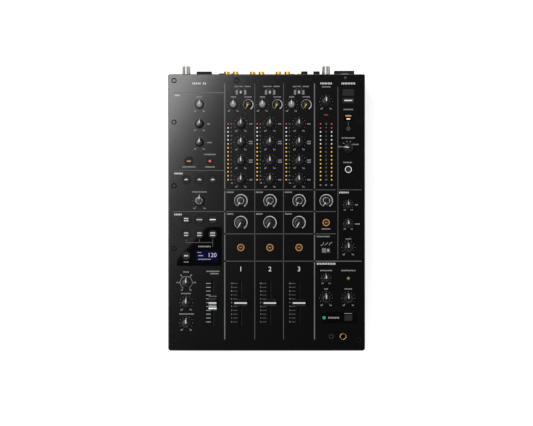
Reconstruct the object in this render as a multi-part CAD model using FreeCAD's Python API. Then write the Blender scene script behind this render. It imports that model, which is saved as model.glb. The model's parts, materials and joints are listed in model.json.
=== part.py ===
import FreeCAD, Part
import math
import os

# Three-channel club mixer. Millimetres, +Z up, +Y towards the rear sockets.
# Pieces are modelled about the middle of the control panel and moved as one when saved, so that
# the origin lies under the middle of the whole outline, rear terminals included.

V = FreeCAD.Vector
UP = V(0, 0, 1)
ACROSS = V(1, 0, 0)
CENTRE = V(0, 0, 0)
PAST = 1.0                       # how far a cutting tool runs past the face that it opens

# Case
PANEL_TOP = 90.0                 # table to the face of the control panel
PANEL_THICK = 2.5
FOOT_HEIGHT = 8.0
FOOT_RADIUS = 12.0
FOOT_TAPER = 1.5
FOOT_INSET = 30.0
SHEET = 1.6                      # folded steel of the base pan and rear panel
SKIRT_DEPTH = 12.0
SKIRT_WALL = 2.0
CASE_FIT = 0.3                   # pan walls inside the panel's skirt
FRONT_CORNER = 4.0
REAR_CORNER = 2.0
EDGE_ROUND = 1.2
FLANGE = 10.5                    # inward lips that take the panel screws
REAR_RECESS = 3.0                # rear panel in from the control panel's rear edge
VENT_WIDTH = 2.6
VENT_HEIGHT = 22.0
VENT_PITCH = 7.0
VENT_COUNT = 14
VENT_FROM_REAR = 32.0
VENT_ABOVE_PAN = 26.0

# Columns, from the left edge to the right
LEFT_SECTION = 81.1
LEFT_MIDDLE = 44.9               # left edge to the middle column of the left section
LEFT_PITCH = 19.0
MIC_BUTTON_HALF = 15.0
CHANNELS = 3
CHANNEL_LEAD = 23.0              # left section's divider to the first channel's middle
CHANNEL_PITCH = 41.65
CHANNEL_SPARE = 3.55
METER_LEFT = 18.15               # channel's middle to its lamps
TRIM_LEFT = 10.95
COMP_RIGHT = 10.5
RIGHT_SECTION = 72.4
MASTER_LEAD = 16.6
MASTER_METER_HALF = 7.95
RIGHT_LEAD = 48.4

# Rows, from the rear edge to the front
SELECTOR_FROM_REAR = 25.8
TRIM_STEP = 17.6
EQ_STEP = 27.8
EQ_PITCH = 26.65
EQ_BANDS = 4
FILTER_STEP = 30.05
SEND_STEP = 31.2
CUE_STEP = 35.7
FADER_STEP = 79.0
FRONT_MARGIN = 68.9
SEND_BUTTON_RISE = 4.2
EFFECT_STEP = 20.8               # send buttons to effect buttons
TAP_STEP = 30.9
WINDOW_ABOVE = 10.2              # effect buttons to the window's rear edge
WINDOW_BELOW = 14.6              # tap button to the window's front edge
BEAT_PITCH = 28.9
MASTER_RISE = 4.0
CLIP_RISE = 12.9
CURVE_DROP = 4.1
LINK_STEP = 44.1
MIX_STEP = 28.5
WIRELESS_STEP = 28.0
JACK_STEP = 26.8
USB_FROM_REAR = 37.6
SOURCE_STEP = 24.2
SOURCE_BUTTON_STEP = 16.4
SELECT_STEP = 27.2
ON_STEP = 31.0
BOOTH_STEP = 50.5
BOOTH_PITCH = 27.4
POWER_LAMP_FROM_REAR = 5.0

# Panel screws
SCREW_INSET = 8.5
SCREW_FROM_REAR = 9.1
SCREW_STEPS = (59.5, 91.2, 90.1)
SCREW_FROM_FRONT = 15.6
REAR_SCREW_XS = (-43.0, 56.0)
SCREW_HEAD_R = 3.6
SCREW_R = 1.5
SCREW_HEAD_H = 2.0
SCREW_LENGTH = 7.0
SCREW_FIT = 0.15

# Knobs, spindles and rotary potentiometers
KNOB_GAP = 0.8
TALL_KNOB_H = 17.1
SHORT_KNOB_H = 15.5
CONTROL_KNOB_R = 7.0
FILTER_KNOB_R = 8.2
TRIM_KNOB_R = 6.3
SMALL_KNOB_R = 5.5
KNOB_SHOULDER = 1.3              # skirt to the foot of the grip
KNOB_DRAFT = 0.7                 # foot of the grip to its top
SKIRT_H = 3.2
SHOULDER_H = 1.2
KNOB_EDGE = 0.6
POINTER_WIDTH = 1.5
POINTER_PROUD = 0.35
TRIM_RING_OUTER = 5.4
TRIM_RING_INNER = 3.5
TRIM_RING_H = 0.8
SPINDLE_R = 3.0
SPINDLE_FIT = 0.05
SPINDLE_RUN = 0.3                # spindle in the potentiometer
SPINDLE_HOLE = 0.6               # spindle in the panel
SPINDLE_GRIP = 6.0               # length inside the knob
SPINDLE_SEAT = 5.0               # length inside the potentiometer
POT_SIDE = 11.0
POT_H = 7.0
TURN = 150.0                     # a knob turns this far to each side of straight up
SELECT_REST = 80.0               # channel select points this far to the left of straight up

# Faders
FADER_TRAVEL = 55.0
LEVER_THICK = 1.6
LEVER_LENGTH = 5.0
LEVER_SLOT = 0.7
LEVER_RUN = 0.4
LEVER_GRIP = 4.0
LEVER_END = 2.5                  # slot past the lever at the end of its travel
CAP_GAP = 1.2
CAP_FIT = 0.05
CAP_HEIGHT = 11.0
CAP_RIDGE = 2.8
CAP_SHOULDER = 3.0
CAP_HOLLOW_AT = 0.35             # share of the finger face's run where its hollow is measured
CAP_HOLLOW_H = 0.3               # share of its rise there
CHANNEL_CAP_W = 18.6
CHANNEL_CAP_L = 9.4
EFFECT_CAP_W = 11.5
EFFECT_CAP_L = 20.8
SLIDE_POT_W = 12.0
SLIDE_POT_H = 11.0
SLIDE_POT_END = 9.0
SLIDE_POT_FLOOR = 2.0

# Slide switches
SELECTOR_TRAVEL = 3.0            # to each side
CURVE_TRAVEL = 6.0
SWITCH_CUT_D = 7.0
SELECTOR_LEVER_W = 8.6
CURVE_LEVER_W = 6.0
SWITCH_FIT = 0.35
SHUTTER_DROP = 1.0               # lever's plate below the panel face
SHUTTER_H = 0.9
TIP_W = 3.0
TIP_D = 3.9
TIP_RISE = 4.0
SWITCH_BODY_H = 5.0
SWITCH_BODY_RIM = 2.0

# Push buttons
BUTTON_TRAVEL = 0.9
BUTTON_RISE = 2.0
BUTTON_CLEAR = 0.5
BUTTON_R = 5.9
TALKOVER_R = 4.2
SOURCE_BUTTON_R = 3.4
ON_BUTTON_R = 5.4
MONO_BUTTON_R = 3.4
WIRELESS_BUTTON_W = 11.3
WIRELESS_BUTTON_D = 8.4
BUTTON_EDGE = 0.5
BUTTON_FLANGE = 0.9
BUTTON_FLANGE_H = 1.0
BUTTON_FLANGE_GAP = 0.4
BUTTON_OVERTRAVEL = 0.4
BUTTON_SWITCH_GAP = BUTTON_TRAVEL + BUTTON_OVERTRAVEL
BUTTON_SWITCH_SIDE = 6.0

# Lamps and windows
LAMP_ROWS = 15
LAMP_W = 3.0
LAMP_D = 2.8
LAMP_FIT = 0.12
LAMP_PROUD = 0.2
CLIP_W = 6.9
POWER_LAMP_X = 112.8
WINDOW_THICK = 1.2
WINDOW_FIT = 0.1
WINDOW_CORNER = 1.5
EFFECT_WINDOW_W = 64.1
WIRELESS_WINDOW_W = 50.8
WIRELESS_WINDOW_D = 15.9
WIRELESS_WINDOW_RIGHT = 19.1     # master column to the window's middle
SOURCE_WINDOW_W = 12.4
SOURCE_WINDOW_D = 10.4
SOURCE_LIGHT_W = 6.2
SOURCE_LIGHT_D = 5.2
DISPLAY_W = 32.0
DISPLAY_D = 16.0
DISPLAY_RIGHT = 10.6             # left section's middle column to the display's middle
DISPLAY_RIM = 2.0
DISPLAY_H = 3.0

# Boards
BOARD = 1.6
BOARD_SIDE_GAP = 19.0
BOARD_REAR_GAP = 19.0
BOARD_FRONT_GAP = 32.0
BOARD_CLEAR = 1.0
STANDOFF_H = 6.0
STANDOFF_R = 3.5
STANDOFF_INSET = 8.0
MAIN_BOARD = (180.0, 250.0)
MAIN_BOARD_AT = (-30.0, 0.0)
SUPPLY_BOARD = (46.0, 120.0)
SUPPLY_BOARD_AT = (100.0, 80.0)
TRANSFORMER = (34.0, 42.0, 28.0)
CAPACITOR_R = 9.0
CAPACITOR_H = 25.0
CAPACITOR_PITCH = 24.0
PROCESSOR = (32.0, 32.0, 4.0)

# Rear sockets: heights above the table and places across
LINE_Z = 70.0
PHONO_Z = 49.0
OUTPUT_Z = 27.0
TERMINAL_XS = (-115.6, 85.8)
TERMINAL_REACH = 12.5            # past the control panel's rear edge
TERMINAL_R = 5.85
TERMINAL_STEM_R = 3.0
TERMINAL_COLLAR = 3.5
TERMINAL_NECK = 1.5
PHONO_PAIR_X = -51.0
PHONO_PAIR_PITCH = 37.25
PHONO_SPACING = 12.8
OUTPUT_PHONO_X = 43.0
PHONO_R = 4.15
PHONO_BORE = 1.7
PHONO_FLANGE_R = 5.4
PHONO_FLANGE_H = 1.5
PHONO_REACH = 8.0
PHONO_TAIL = 12.0
PHONO_TAIL_R = 3.2
SOCKET_FIT = 0.1
PHONE_JACK_R = 4.65
PHONE_BORE_R = 3.2
PHONE_REACH = 8.2
PHONE_BODY = (14.0, 12.0, 26.0)
PHONE_DEPTH = 27.0
SEND_JACK_XS = (-65.0, -47.4)
BOOTH_JACK_XS = (54.4, 71.9)
MIC_SOCKET_X = -90.0
MIC_SOCKET_Z = 58.0
MIC_FLANGE = (21.8, 27.0)
MIC_REACH = 6.3
MIC_RECESS_R = 8.8
MIC_RECESS_H = 14.0
MIC_BODY_H = 24.0
OUTPUT_SOCKET_XS = (-17.0, 13.5)
OUTPUT_FLANGE = (26.0, 31.0)
OUTPUT_FLANGE_H = 2.0
OUTPUT_RECESS_R = 9.3
OUTPUT_BODY_R = 11.5
OUTPUT_DEPTH = 16.0
OUTPUT_PIN_R = 1.2
OUTPUT_PIN_CIRCLE = 5.0
OUTPUT_PIN_LENGTH = 10.0
NETWORK_X = 72.0
NETWORK_FACE = (16.0, 14.0)
NETWORK_MOUTH = (11.8, 7.5)
NETWORK_DEPTH = 14.0
NETWORK_REACH = 1.0
SOCKET_WALL = 2.0
INLET_X = 112.9
INLET_Z = 38.0
INLET_FLANGE = (46.0, 26.0)
INLET_FLANGE_H = 2.5
INLET_RIM = (29.0, 22.0)
INLET_REACH = 7.0
INLET_MOUTH = (24.4, 16.8)
INLET_BEVEL = 5.0
INLET_DEPTH = 17.0
INLET_BLADE = (2.0, 4.0, 13.0)
INLET_BLADE_PITCH = 7.0
INLET_EARTH_DROP = 4.0
POWER_Z = 71.0
POWER_BEZEL = (15.0, 21.0)
POWER_BEZEL_H = 2.0
POWER_MOUTH = (11.6, 18.6)
POWER_BODY_H = 16.0
ROCKER_GAP = 0.5
ROCKER_TILT = 8.0
ROCKER_RISE = 2.6
ROCKER_DEPTH = 7.0
SOCKET_CORNER = 3.0

# Top sockets
USB_SHELL = (13.1, 5.7)
USB_WALL = 0.6
USB_DEPTH = 14.0
USB_TONGUE = (11.2, 1.9)
USB_FLANGE = (16.4, 7.6)
USB_FLANGE_H = 0.6
USB_LID = (16.3, 9.3, 1.4)
USB_LID_STEP = 11.3
MINI_JACK_X = 92.5
MINI_JACK_R = 3.7
MINI_BORE_R = 1.75
HEADPHONE_X = 109.5
HEADPHONE_R = 4.8
JACK_RING_H = 0.8
JACK_BODY_RIM = 2.0

# Places that follow from those sizes
WIDTH = LEFT_SECTION + CHANNELS * CHANNEL_PITCH + CHANNEL_SPARE + RIGHT_SECTION
SELECTOR_TO_FADER = (TRIM_STEP + EQ_STEP + (EQ_BANDS - 1) * EQ_PITCH + FILTER_STEP + SEND_STEP
                     + CUE_STEP + FADER_STEP)
DEPTH = SELECTOR_FROM_REAR + SELECTOR_TO_FADER + FRONT_MARGIN
LEFT = -WIDTH / 2
RIGHT = WIDTH / 2
FRONT = -DEPTH / 2
REAR = DEPTH / 2
UNDERSIDE = PANEL_TOP - PANEL_THICK
REAR_FACE = REAR - REAR_RECESS
PAN_FLOOR = FOOT_HEIGHT + SHEET
PAN_SIDE = RIGHT - SKIRT_WALL - CASE_FIT
PAN_FRONT = FRONT + SKIRT_WALL + CASE_FIT

LEFT_B = LEFT + LEFT_MIDDLE
LEFT_A = LEFT_B - LEFT_PITCH
LEFT_C = LEFT_B + LEFT_PITCH
LEFT_COLUMNS = (LEFT_A, LEFT_B, LEFT_C)
CHANNEL_XS = [LEFT + LEFT_SECTION + CHANNEL_LEAD + i * CHANNEL_PITCH for i in range(CHANNELS)]
MASTER_X = RIGHT - RIGHT_SECTION + MASTER_LEAD
RIGHT_X = RIGHT - RIGHT_SECTION + RIGHT_LEAD

SELECTOR_Y = REAR - SELECTOR_FROM_REAR
TRIM_Y = SELECTOR_Y - TRIM_STEP
EQ_YS = [TRIM_Y - EQ_STEP - i * EQ_PITCH for i in range(EQ_BANDS)]
FILTER_Y = EQ_YS[-1] - FILTER_STEP
SEND_Y = FILTER_Y - SEND_STEP
CUE_Y = SEND_Y - CUE_STEP
FADER_Y = CUE_Y - FADER_STEP
SEND_BUTTON_Y = SEND_Y + SEND_BUTTON_RISE
EFFECT_Y = SEND_BUTTON_Y - EFFECT_STEP
TAP_Y = EFFECT_Y - TAP_STEP
WINDOW_REAR = EFFECT_Y + WINDOW_ABOVE
WINDOW_FRONT = TAP_Y - WINDOW_BELOW
CURVE_Y = CUE_Y - CURVE_DROP
LINK_Y = CUE_Y - LINK_STEP
MIX_Y = LINK_Y - MIX_STEP
WIRELESS_Y = MIX_Y - WIRELESS_STEP
JACK_Y = WIRELESS_Y - JACK_STEP
USB_Y = REAR - USB_FROM_REAR
SOURCE_Y = USB_Y - SOURCE_STEP
SOURCE_BUTTON_Y = SOURCE_Y - SOURCE_BUTTON_STEP
SELECT_Y = SOURCE_BUTTON_Y - SELECT_STEP
ON_Y = SELECT_Y - ON_STEP
BOOTH_Y = ON_Y - BOOTH_STEP
LAMP_PITCH = (EQ_YS[0] - EQ_YS[-1]) / (LAMP_ROWS - 1)
BOARD_TOP = UNDERSIDE - POT_H
SLOT_LENGTH = FADER_TRAVEL + LEVER_LENGTH + 2 * LEVER_END

# Every knob: name, kind, place, and the pointer's turn from straight up, anticlockwise from above
KNOBS = []
for number, channel_x in enumerate(CHANNEL_XS, 1):
    KNOBS.append((f"trim_knob_{number}", "trim", channel_x - TRIM_LEFT, TRIM_Y, 0))
    KNOBS.append((f"compressor_knob_{number}", "small", channel_x + COMP_RIGHT, TRIM_Y, TURN))
    for band, eq_y in zip(("high", "high_mid", "low_mid", "low"), EQ_YS):
        KNOBS.append((f"{band}_knob_{number}", "control", channel_x, eq_y, 0))
    KNOBS.append((f"filter_knob_{number}", "filter", channel_x, FILTER_Y, TURN))
    KNOBS.append((f"send_knob_{number}", "send", channel_x, SEND_Y, TURN))
KNOBS += [
    ("mic_level_knob", "trim", LEFT_B, TRIM_Y, 0),
    ("mic_high_knob", "trim", LEFT_B, EQ_YS[0], 0),
    ("mic_low_knob", "trim", LEFT_B, EQ_YS[1], 0),
    ("resonance_knob", "filter", LEFT_B, FILTER_Y, 0),
    ("time_knob", "control", LEFT_A, FADER_Y + BEAT_PITCH, 0),
    ("size_knob", "control", LEFT_A, FADER_Y, 0),
    ("parameter_knob", "control", LEFT_A, FADER_Y - BEAT_PITCH, 0),
    ("master_level_knob", "control", MASTER_X, TRIM_Y + MASTER_RISE, 0),
    ("master_filter_knob", "filter", MASTER_X, FILTER_Y, TURN),
    ("channel_select_knob", "control", RIGHT_X, SELECT_Y, SELECT_REST),
    ("booth_high_knob", "small", RIGHT_X, BOOTH_Y, 0),
    ("booth_low_knob", "small", RIGHT_X, BOOTH_Y - BOOTH_PITCH, 0),
    ("booth_level_knob", "control", RIGHT_X, CUE_Y, 0),
    ("link_cue_knob", "small", MASTER_X, LINK_Y, 0),
    ("headphone_mix_knob", "control", MASTER_X, MIX_Y, 0),
    ("headphone_level_knob", "control", RIGHT_X, MIX_Y, 0),
]

# Every round button: place and radius. The square wireless button is made beside them.
BUTTONS = [(x, CUE_Y, BUTTON_R) for x in CHANNEL_XS]
BUTTONS += [(MASTER_X, SEND_Y, BUTTON_R)]
BUTTONS += [(LEFT_B - MIC_BUTTON_HALF, EQ_YS[2], BUTTON_R)]
BUTTONS += [(LEFT_B + MIC_BUTTON_HALF, EQ_YS[2], TALKOVER_R)]
for row in (EQ_YS[3], SEND_BUTTON_Y, EFFECT_Y):
    BUTTONS += [(x, row, BUTTON_R) for x in LEFT_COLUMNS]
BUTTONS += [
    (LEFT_A, TAP_Y, BUTTON_R),
    (RIGHT_X, SOURCE_BUTTON_Y, SOURCE_BUTTON_R),
    (RIGHT_X, ON_Y, ON_BUTTON_R),
    (RIGHT_X, LINK_Y, MONO_BUTTON_R),
]

# Faders: node, place across, cap's width and length
FADERS = [(f"channel_fader_{i}", x, CHANNEL_CAP_W, CHANNEL_CAP_L) for i, x in enumerate(CHANNEL_XS, 1)]
FADERS.append(("effects_fader", LEFT_C, EFFECT_CAP_W, EFFECT_CAP_L))

METER_XS = [x - METER_LEFT for x in CHANNEL_XS]
METER_XS += [MASTER_X - MASTER_METER_HALF, MASTER_X + MASTER_METER_HALF]

# Windows: place of the middle, and the pane's size
WINDOWS = [
    (LEFT_B, (WINDOW_REAR + WINDOW_FRONT) / 2, EFFECT_WINDOW_W, WINDOW_REAR - WINDOW_FRONT),
    (MASTER_X + WIRELESS_WINDOW_RIGHT, WIRELESS_Y, WIRELESS_WINDOW_W, WIRELESS_WINDOW_D),
    (RIGHT_X, SOURCE_Y, SOURCE_WINDOW_W, SOURCE_WINDOW_D),
]
DISPLAY_X = LEFT_B + DISPLAY_RIGHT

PHONO_PLACES = []
for pair in range(CHANNELS):
    pair_x = PHONO_PAIR_X + pair * PHONO_PAIR_PITCH
    PHONO_PLACES += [(pair_x + side * PHONO_SPACING / 2, z) for z in (LINE_Z, PHONO_Z) for side in (-1, 1)]
PHONO_PLACES += [(OUTPUT_PHONO_X + side * PHONO_SPACING / 2, OUTPUT_Z) for side in (-1, 1)]
PHONE_PLACES = [(x, OUTPUT_Z) for x in SEND_JACK_XS] + [(x, LINE_Z) for x in BOOTH_JACK_XS]


def block(width, depth, height, x, y, z):
    """Box about x, y with its underside at z."""
    return Part.makeBox(width, depth, height, V(x - width / 2, y - depth / 2, z))


def rod(radius, height, x, y, z):
    """Upright cylinder with its foot at z."""
    return Part.makeCylinder(radius, height, V(x, y, z))


def upright_edges(shape):
    """Straight edges that run along Z."""
    return [e for e in shape.Edges if abs(e.tangentAt(e.FirstParameter).z) > 0.99]


def pad(width, depth, height, corner, x, y, z):
    """Box whose upright corners are rounded."""
    shape = block(width, depth, height, x, y, z)
    return shape.makeFillet(corner, upright_edges(shape))


def rim_edges(shape, height):
    """Edges that lie wholly at one height."""
    box_tops = [(e, e.BoundBox) for e in shape.Edges]
    return [e for e, b in box_tops if abs(b.ZMin - height) < 1e-6 and abs(b.ZMax - height) < 1e-6]


def turned(profile):
    """Solid of revolution about Z from (radius, height) corners."""
    corners = [V(r, 0, z) for r, z in profile]
    face = Part.Face(Part.makePolygon(corners + corners[:1]))
    return face.revolve(CENTRE, UP, 360)


def placed(shape, x, y, z=0.0, turn=0.0):
    """Copy of a shape, turned about Z and then moved."""
    copy = shape.copy()
    copy.rotate(CENTRE, UP, turn)
    copy.translate(V(x, y, z))
    return copy


def facing_rear(shape, x, z):
    """Copy of a fitting made along +Z, set on the rear panel and pointing out of it."""
    copy = shape.copy()
    copy.rotate(CENTRE, ACROSS, -90)
    copy.translate(V(x, REAR_FACE, z))
    return copy


def save(name, shapes):
    """Writes one node, moved so that the origin is under the middle of the whole outline."""
    node = Part.makeCompound(shapes)
    node.translate(V(0, -TERMINAL_REACH / 2, 0))
    node.exportStep(f"parts/{name}.step")


def screw_places():
    """Countersunk screws down both sides and along the rear edge."""
    rows = [REAR - SCREW_FROM_REAR]
    for step in SCREW_STEPS:
        rows.append(rows[-1] - step)
    rows.append(FRONT + SCREW_FROM_FRONT)
    sides = [(side * (RIGHT - SCREW_INSET), y) for side in (-1, 1) for y in rows]
    return sides + [(x, REAR - SCREW_FROM_REAR) for x in REAR_SCREW_XS]


def screw(grow=0.0):
    """Countersunk screw, head flush at z = 0; grown by a clearance it is its own hole."""
    head = SCREW_HEAD_R + grow
    shank = SCREW_R + grow
    tip = -SCREW_LENGTH - grow
    return turned([(0, 0), (head, 0), (shank, -SCREW_HEAD_H), (shank, tip), (0, tip)])


def lamp_places():
    """Meter lamps and clip lamp: place and width."""
    places = [(x, EQ_YS[0] - i * LAMP_PITCH, LAMP_W) for x in METER_XS for i in range(LAMP_ROWS)]
    return places + [(MASTER_X, EQ_YS[0] + CLIP_RISE, CLIP_W)]


def power_lamp_place():
    """Power lamp, set in the panel above the rear panel's lip: place and width."""
    return (POWER_LAMP_X, REAR - POWER_LAMP_FROM_REAR, LAMP_W)


def button_holes(z, height):
    """Round button holes and the square one of the wireless button."""
    holes = [rod(r + BUTTON_CLEAR, height, x, y, z) for x, y, r in BUTTONS]
    square = WIRELESS_BUTTON_W + 2 * BUTTON_CLEAR
    holes.append(block(square, WIRELESS_BUTTON_D + 2 * BUTTON_CLEAR, height, RIGHT_X, WIRELESS_Y, z))
    return holes


def top_panel():
    """Folded control panel: plate with a skirt on three sides, rounded edges, holes and pockets."""
    skirt_z = UNDERSIDE - SKIRT_DEPTH
    shell = block(WIDTH, DEPTH, PANEL_TOP - skirt_z, 0, 0, skirt_z)
    uprights = upright_edges(shell)
    shell = shell.makeFillet(FRONT_CORNER, [e for e in uprights if e.CenterOfMass.y < 0])
    rear_uprights = [e for e in upright_edges(shell) if abs(e.CenterOfMass.y - REAR) < 1e-6]
    shell = shell.makeFillet(REAR_CORNER, rear_uprights)
    shell = shell.makeFillet(EDGE_ROUND, rim_edges(shell, PANEL_TOP))
    inside_w = WIDTH - 2 * SKIRT_WALL
    inside_low = V(-inside_w / 2, FRONT + SKIRT_WALL, skirt_z - PAST)
    shell = shell.cut(Part.makeBox(inside_w, DEPTH + PAST, SKIRT_DEPTH + PAST, inside_low))

    low = UNDERSIDE - PAST
    through = PANEL_THICK + 2 * PAST
    tools = [rod(SPINDLE_R + SPINDLE_HOLE, through, x, y, low) for _, _, x, y, _ in KNOBS]
    tools += button_holes(low, through)
    tools += [placed(screw(SCREW_FIT), x, y, PANEL_TOP) for x, y in screw_places()]
    slot_w = LEVER_THICK + 2 * LEVER_SLOT
    tools += [block(slot_w, SLOT_LENGTH, through, x, FADER_Y, low) for _, x, _, _ in FADERS]
    for x, y, width in lamp_places() + [power_lamp_place()]:
        tools.append(block(width + 2 * LAMP_FIT, LAMP_D + 2 * LAMP_FIT, through, x, y, low))
    for x, y, width, _, _ in SWITCHES:
        tools.append(block(width, SWITCH_CUT_D, through, x, y, low))
    for x, y, width, depth in WINDOWS:
        pocket_z = PANEL_TOP - WINDOW_THICK
        tools.append(pad(width, depth, WINDOW_THICK + PAST, WINDOW_CORNER, x, y, pocket_z))
    tools.append(block(DISPLAY_W, DISPLAY_D, through, DISPLAY_X, TAP_Y, low))
    tools.append(block(SOURCE_LIGHT_W, SOURCE_LIGHT_D, through, RIGHT_X, SOURCE_Y, low))
    shell_w, shell_d = (side + 2 * SOCKET_FIT for side in USB_SHELL)
    tools.append(block(shell_w, shell_d, through, RIGHT_X, USB_Y, low))
    tools.append(rod(MINI_JACK_R - JACK_RING_H + SOCKET_FIT, through, MINI_JACK_X, JACK_Y, low))
    tools.append(rod(HEADPHONE_R - JACK_RING_H + SOCKET_FIT, through, HEADPHONE_X, JACK_Y, low))
    return shell.cut(tools)


def selector_cut():
    """Width of an input selector's panel opening."""
    return SELECTOR_LEVER_W + 2 * SELECTOR_TRAVEL + 2 * SWITCH_FIT


def curve_cut():
    """Width of the fader curve switch's panel opening."""
    return CURVE_LEVER_W + CURVE_TRAVEL + 2 * SWITCH_FIT


# Slide switches: middle of the opening, its width, lever's width and the lever's place in it
SWITCHES = [(x, SELECTOR_Y, selector_cut(), SELECTOR_LEVER_W, 0.0) for x in CHANNEL_XS]
SWITCHES.append((MASTER_X, CURVE_Y, curve_cut(), CURVE_LEVER_W, CURVE_TRAVEL / 2))


def base_pan():
    """Folded tray with screw lips along three sides, side vents and board standoffs."""
    length = REAR_FACE - PAN_FRONT
    middle_y = (REAR_FACE + PAN_FRONT) / 2
    tray = block(2 * PAN_SIDE, length, UNDERSIDE - FOOT_HEIGHT, 0, middle_y, FOOT_HEIGHT)
    inner = 2 * (PAN_SIDE - SHEET)
    mouth = 2 * (PAN_SIDE - FLANGE)
    lip_z = UNDERSIDE - SHEET
    tools = [
        Part.makeBox(inner, length, lip_z - PAN_FLOOR, V(-inner / 2, PAN_FRONT + SHEET, PAN_FLOOR)),
        Part.makeBox(mouth, length, SHEET + PAST, V(-mouth / 2, PAN_FRONT + FLANGE, lip_z)),
    ]
    tray = tray.cut(tools)
    tools = [placed(screw(SCREW_FIT), x, y, PANEL_TOP) for x, y in screw_places()]
    for i in range(VENT_COUNT):
        y = REAR_FACE - VENT_FROM_REAR - i * VENT_PITCH
        tools.append(block(2 * PAN_SIDE + PAST, VENT_WIDTH, VENT_HEIGHT, 0, y, PAN_FLOOR + VENT_ABOVE_PAN))
    tray = tray.cut(tools)
    posts = [rod(STANDOFF_R, STANDOFF_H, x, y, PAN_FLOOR) for x, y in standoff_places()]
    return tray.fuse(posts).removeSplitter()


def standoff_places():
    """Corners of the two lower boards."""
    places = []
    for size, at in ((MAIN_BOARD, MAIN_BOARD_AT), (SUPPLY_BOARD, SUPPLY_BOARD_AT)):
        half = (size[0] / 2 - STANDOFF_INSET, size[1] / 2 - STANDOFF_INSET)
        places += [(at[0] + i * half[0], at[1] + j * half[1]) for i in (-1, 1) for j in (-1, 1)]
    return places


def rear_panel():
    """Upright panel with a lip under the control panel, and a hole for every fitting."""
    width = 2 * (PAN_SIDE - SHEET)
    plate = Part.makeBox(width, SHEET, UNDERSIDE - PAN_FLOOR, V(-width / 2, REAR_FACE - SHEET, PAN_FLOOR))
    lip_w = 2 * (PAN_SIDE - FLANGE - CASE_FIT)
    lip = Part.makeBox(lip_w, FLANGE, SHEET, V(-lip_w / 2, REAR_FACE - FLANGE, UNDERSIDE - SHEET))
    side_lip = PAN_SIDE - SHEET - lip_w / 2
    notches = [block(2 * side_lip, 2 * SHEET + PAST, SHEET, side * width / 2, REAR_FACE, UNDERSIDE - SHEET)
               for side in (-1, 1)]
    panel = plate.cut(notches).fuse(lip).removeSplitter()
    low = -SHEET - PAST
    through = SHEET + 2 * PAST
    tools = [placed(screw(SCREW_FIT), x, y, PANEL_TOP) for x, y in screw_places()]
    tools += [facing_rear(rod(PHONO_TAIL_R + SOCKET_FIT, through, 0, 0, low), x, z) for x, z in PHONO_PLACES]
    tools += [facing_rear(rod(PHONE_JACK_R + SOCKET_FIT, through, 0, 0, low), x, z) for x, z in PHONE_PLACES]
    stem_r = TERMINAL_STEM_R + SOCKET_FIT
    tools += [facing_rear(rod(stem_r, through, 0, 0, low), x, LINE_Z) for x in TERMINAL_XS]
    mic_hole = rod(MIC_RECESS_R + SOCKET_WALL / 2 + SOCKET_FIT, through, 0, 0, low)
    tools.append(facing_rear(mic_hole, MIC_SOCKET_X, MIC_SOCKET_Z))
    output_hole = rod(OUTPUT_BODY_R + SOCKET_FIT, through, 0, 0, low)
    tools += [facing_rear(output_hole, x, OUTPUT_Z) for x in OUTPUT_SOCKET_XS]
    for size, x, z in box_fittings():
        width, height = (side + 2 * SOCKET_FIT for side in size)
        tools.append(facing_rear(block(width, height, through, 0, 0, low), x, z))
    return panel.cut(tools)


def inlet_body():
    """Size of the mains inlet behind its flange."""
    return (INLET_MOUTH[0] + 2 * SOCKET_WALL, INLET_MOUTH[1] + 2 * SOCKET_WALL)


def power_body():
    """Size of the rocker switch's housing behind its bezel."""
    return (POWER_MOUTH[0] + SOCKET_WALL, POWER_MOUTH[1] + SOCKET_WALL)


def box_fittings():
    """Square-bodied rear fittings: body size and place."""
    return [
        (NETWORK_FACE, NETWORK_X, OUTPUT_Z),
        (inlet_body(), INLET_X, INLET_Z),
        (power_body(), INLET_X, POWER_Z),
    ]


def rubber_foot():
    """Tapered foot, widest where it meets the pan."""
    return turned([(0, 0), (FOOT_RADIUS - FOOT_TAPER, 0), (FOOT_RADIUS, FOOT_HEIGHT), (0, FOOT_HEIGHT)])


def knob_profile(skirt, height, proud):
    """Corners of a knob's outline, grown outwards by proud."""
    grip = skirt - KNOB_SHOULDER
    top = grip - KNOB_DRAFT
    return [
        (0, 0),
        (skirt + proud, 0),
        (skirt + proud, SKIRT_H + proud),
        (grip + proud, SKIRT_H + SHOULDER_H + proud),
        (top + proud, height + proud),
        (0, height + proud),
    ]


def knob(skirt, height, ringed):
    """Cap with a skirt, tapered grip and raised pointer, its metal ring if any, and its spindle."""
    top = height - POINTER_PROUD
    cap = turned(knob_profile(skirt, top, 0.0))
    cap = cap.makeFillet(KNOB_EDGE, rim_edges(cap, top))
    ridge = turned(knob_profile(skirt - POINTER_PROUD, top, POINTER_PROUD))
    reach = skirt + PAST
    ridge = ridge.common(Part.makeBox(POINTER_WIDTH, reach, height + PAST, V(-POINTER_WIDTH / 2, 0, 0)))
    cap = cap.fuse(ridge).removeSplitter()
    pieces = []
    if ringed:
        ring_z = top - TRIM_RING_H + POINTER_PROUD / 2
        ring = rod(TRIM_RING_OUTER, TRIM_RING_H, 0, 0, ring_z)
        ring = ring.cut(rod(TRIM_RING_INNER, TRIM_RING_H, 0, 0, ring_z))
        ring = ring.cut(ridge)
        cap = cap.cut(ring)
        pieces.append(ring)
    bore = rod(SPINDLE_R + SPINDLE_FIT, SPINDLE_GRIP + SPINDLE_FIT + PAST, 0, 0, -PAST)
    pieces.append(cap.cut(bore))
    foot = -KNOB_GAP - PANEL_THICK - SPINDLE_SEAT
    pieces.append(rod(SPINDLE_R, SPINDLE_GRIP - foot, 0, 0, foot))
    return pieces


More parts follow.
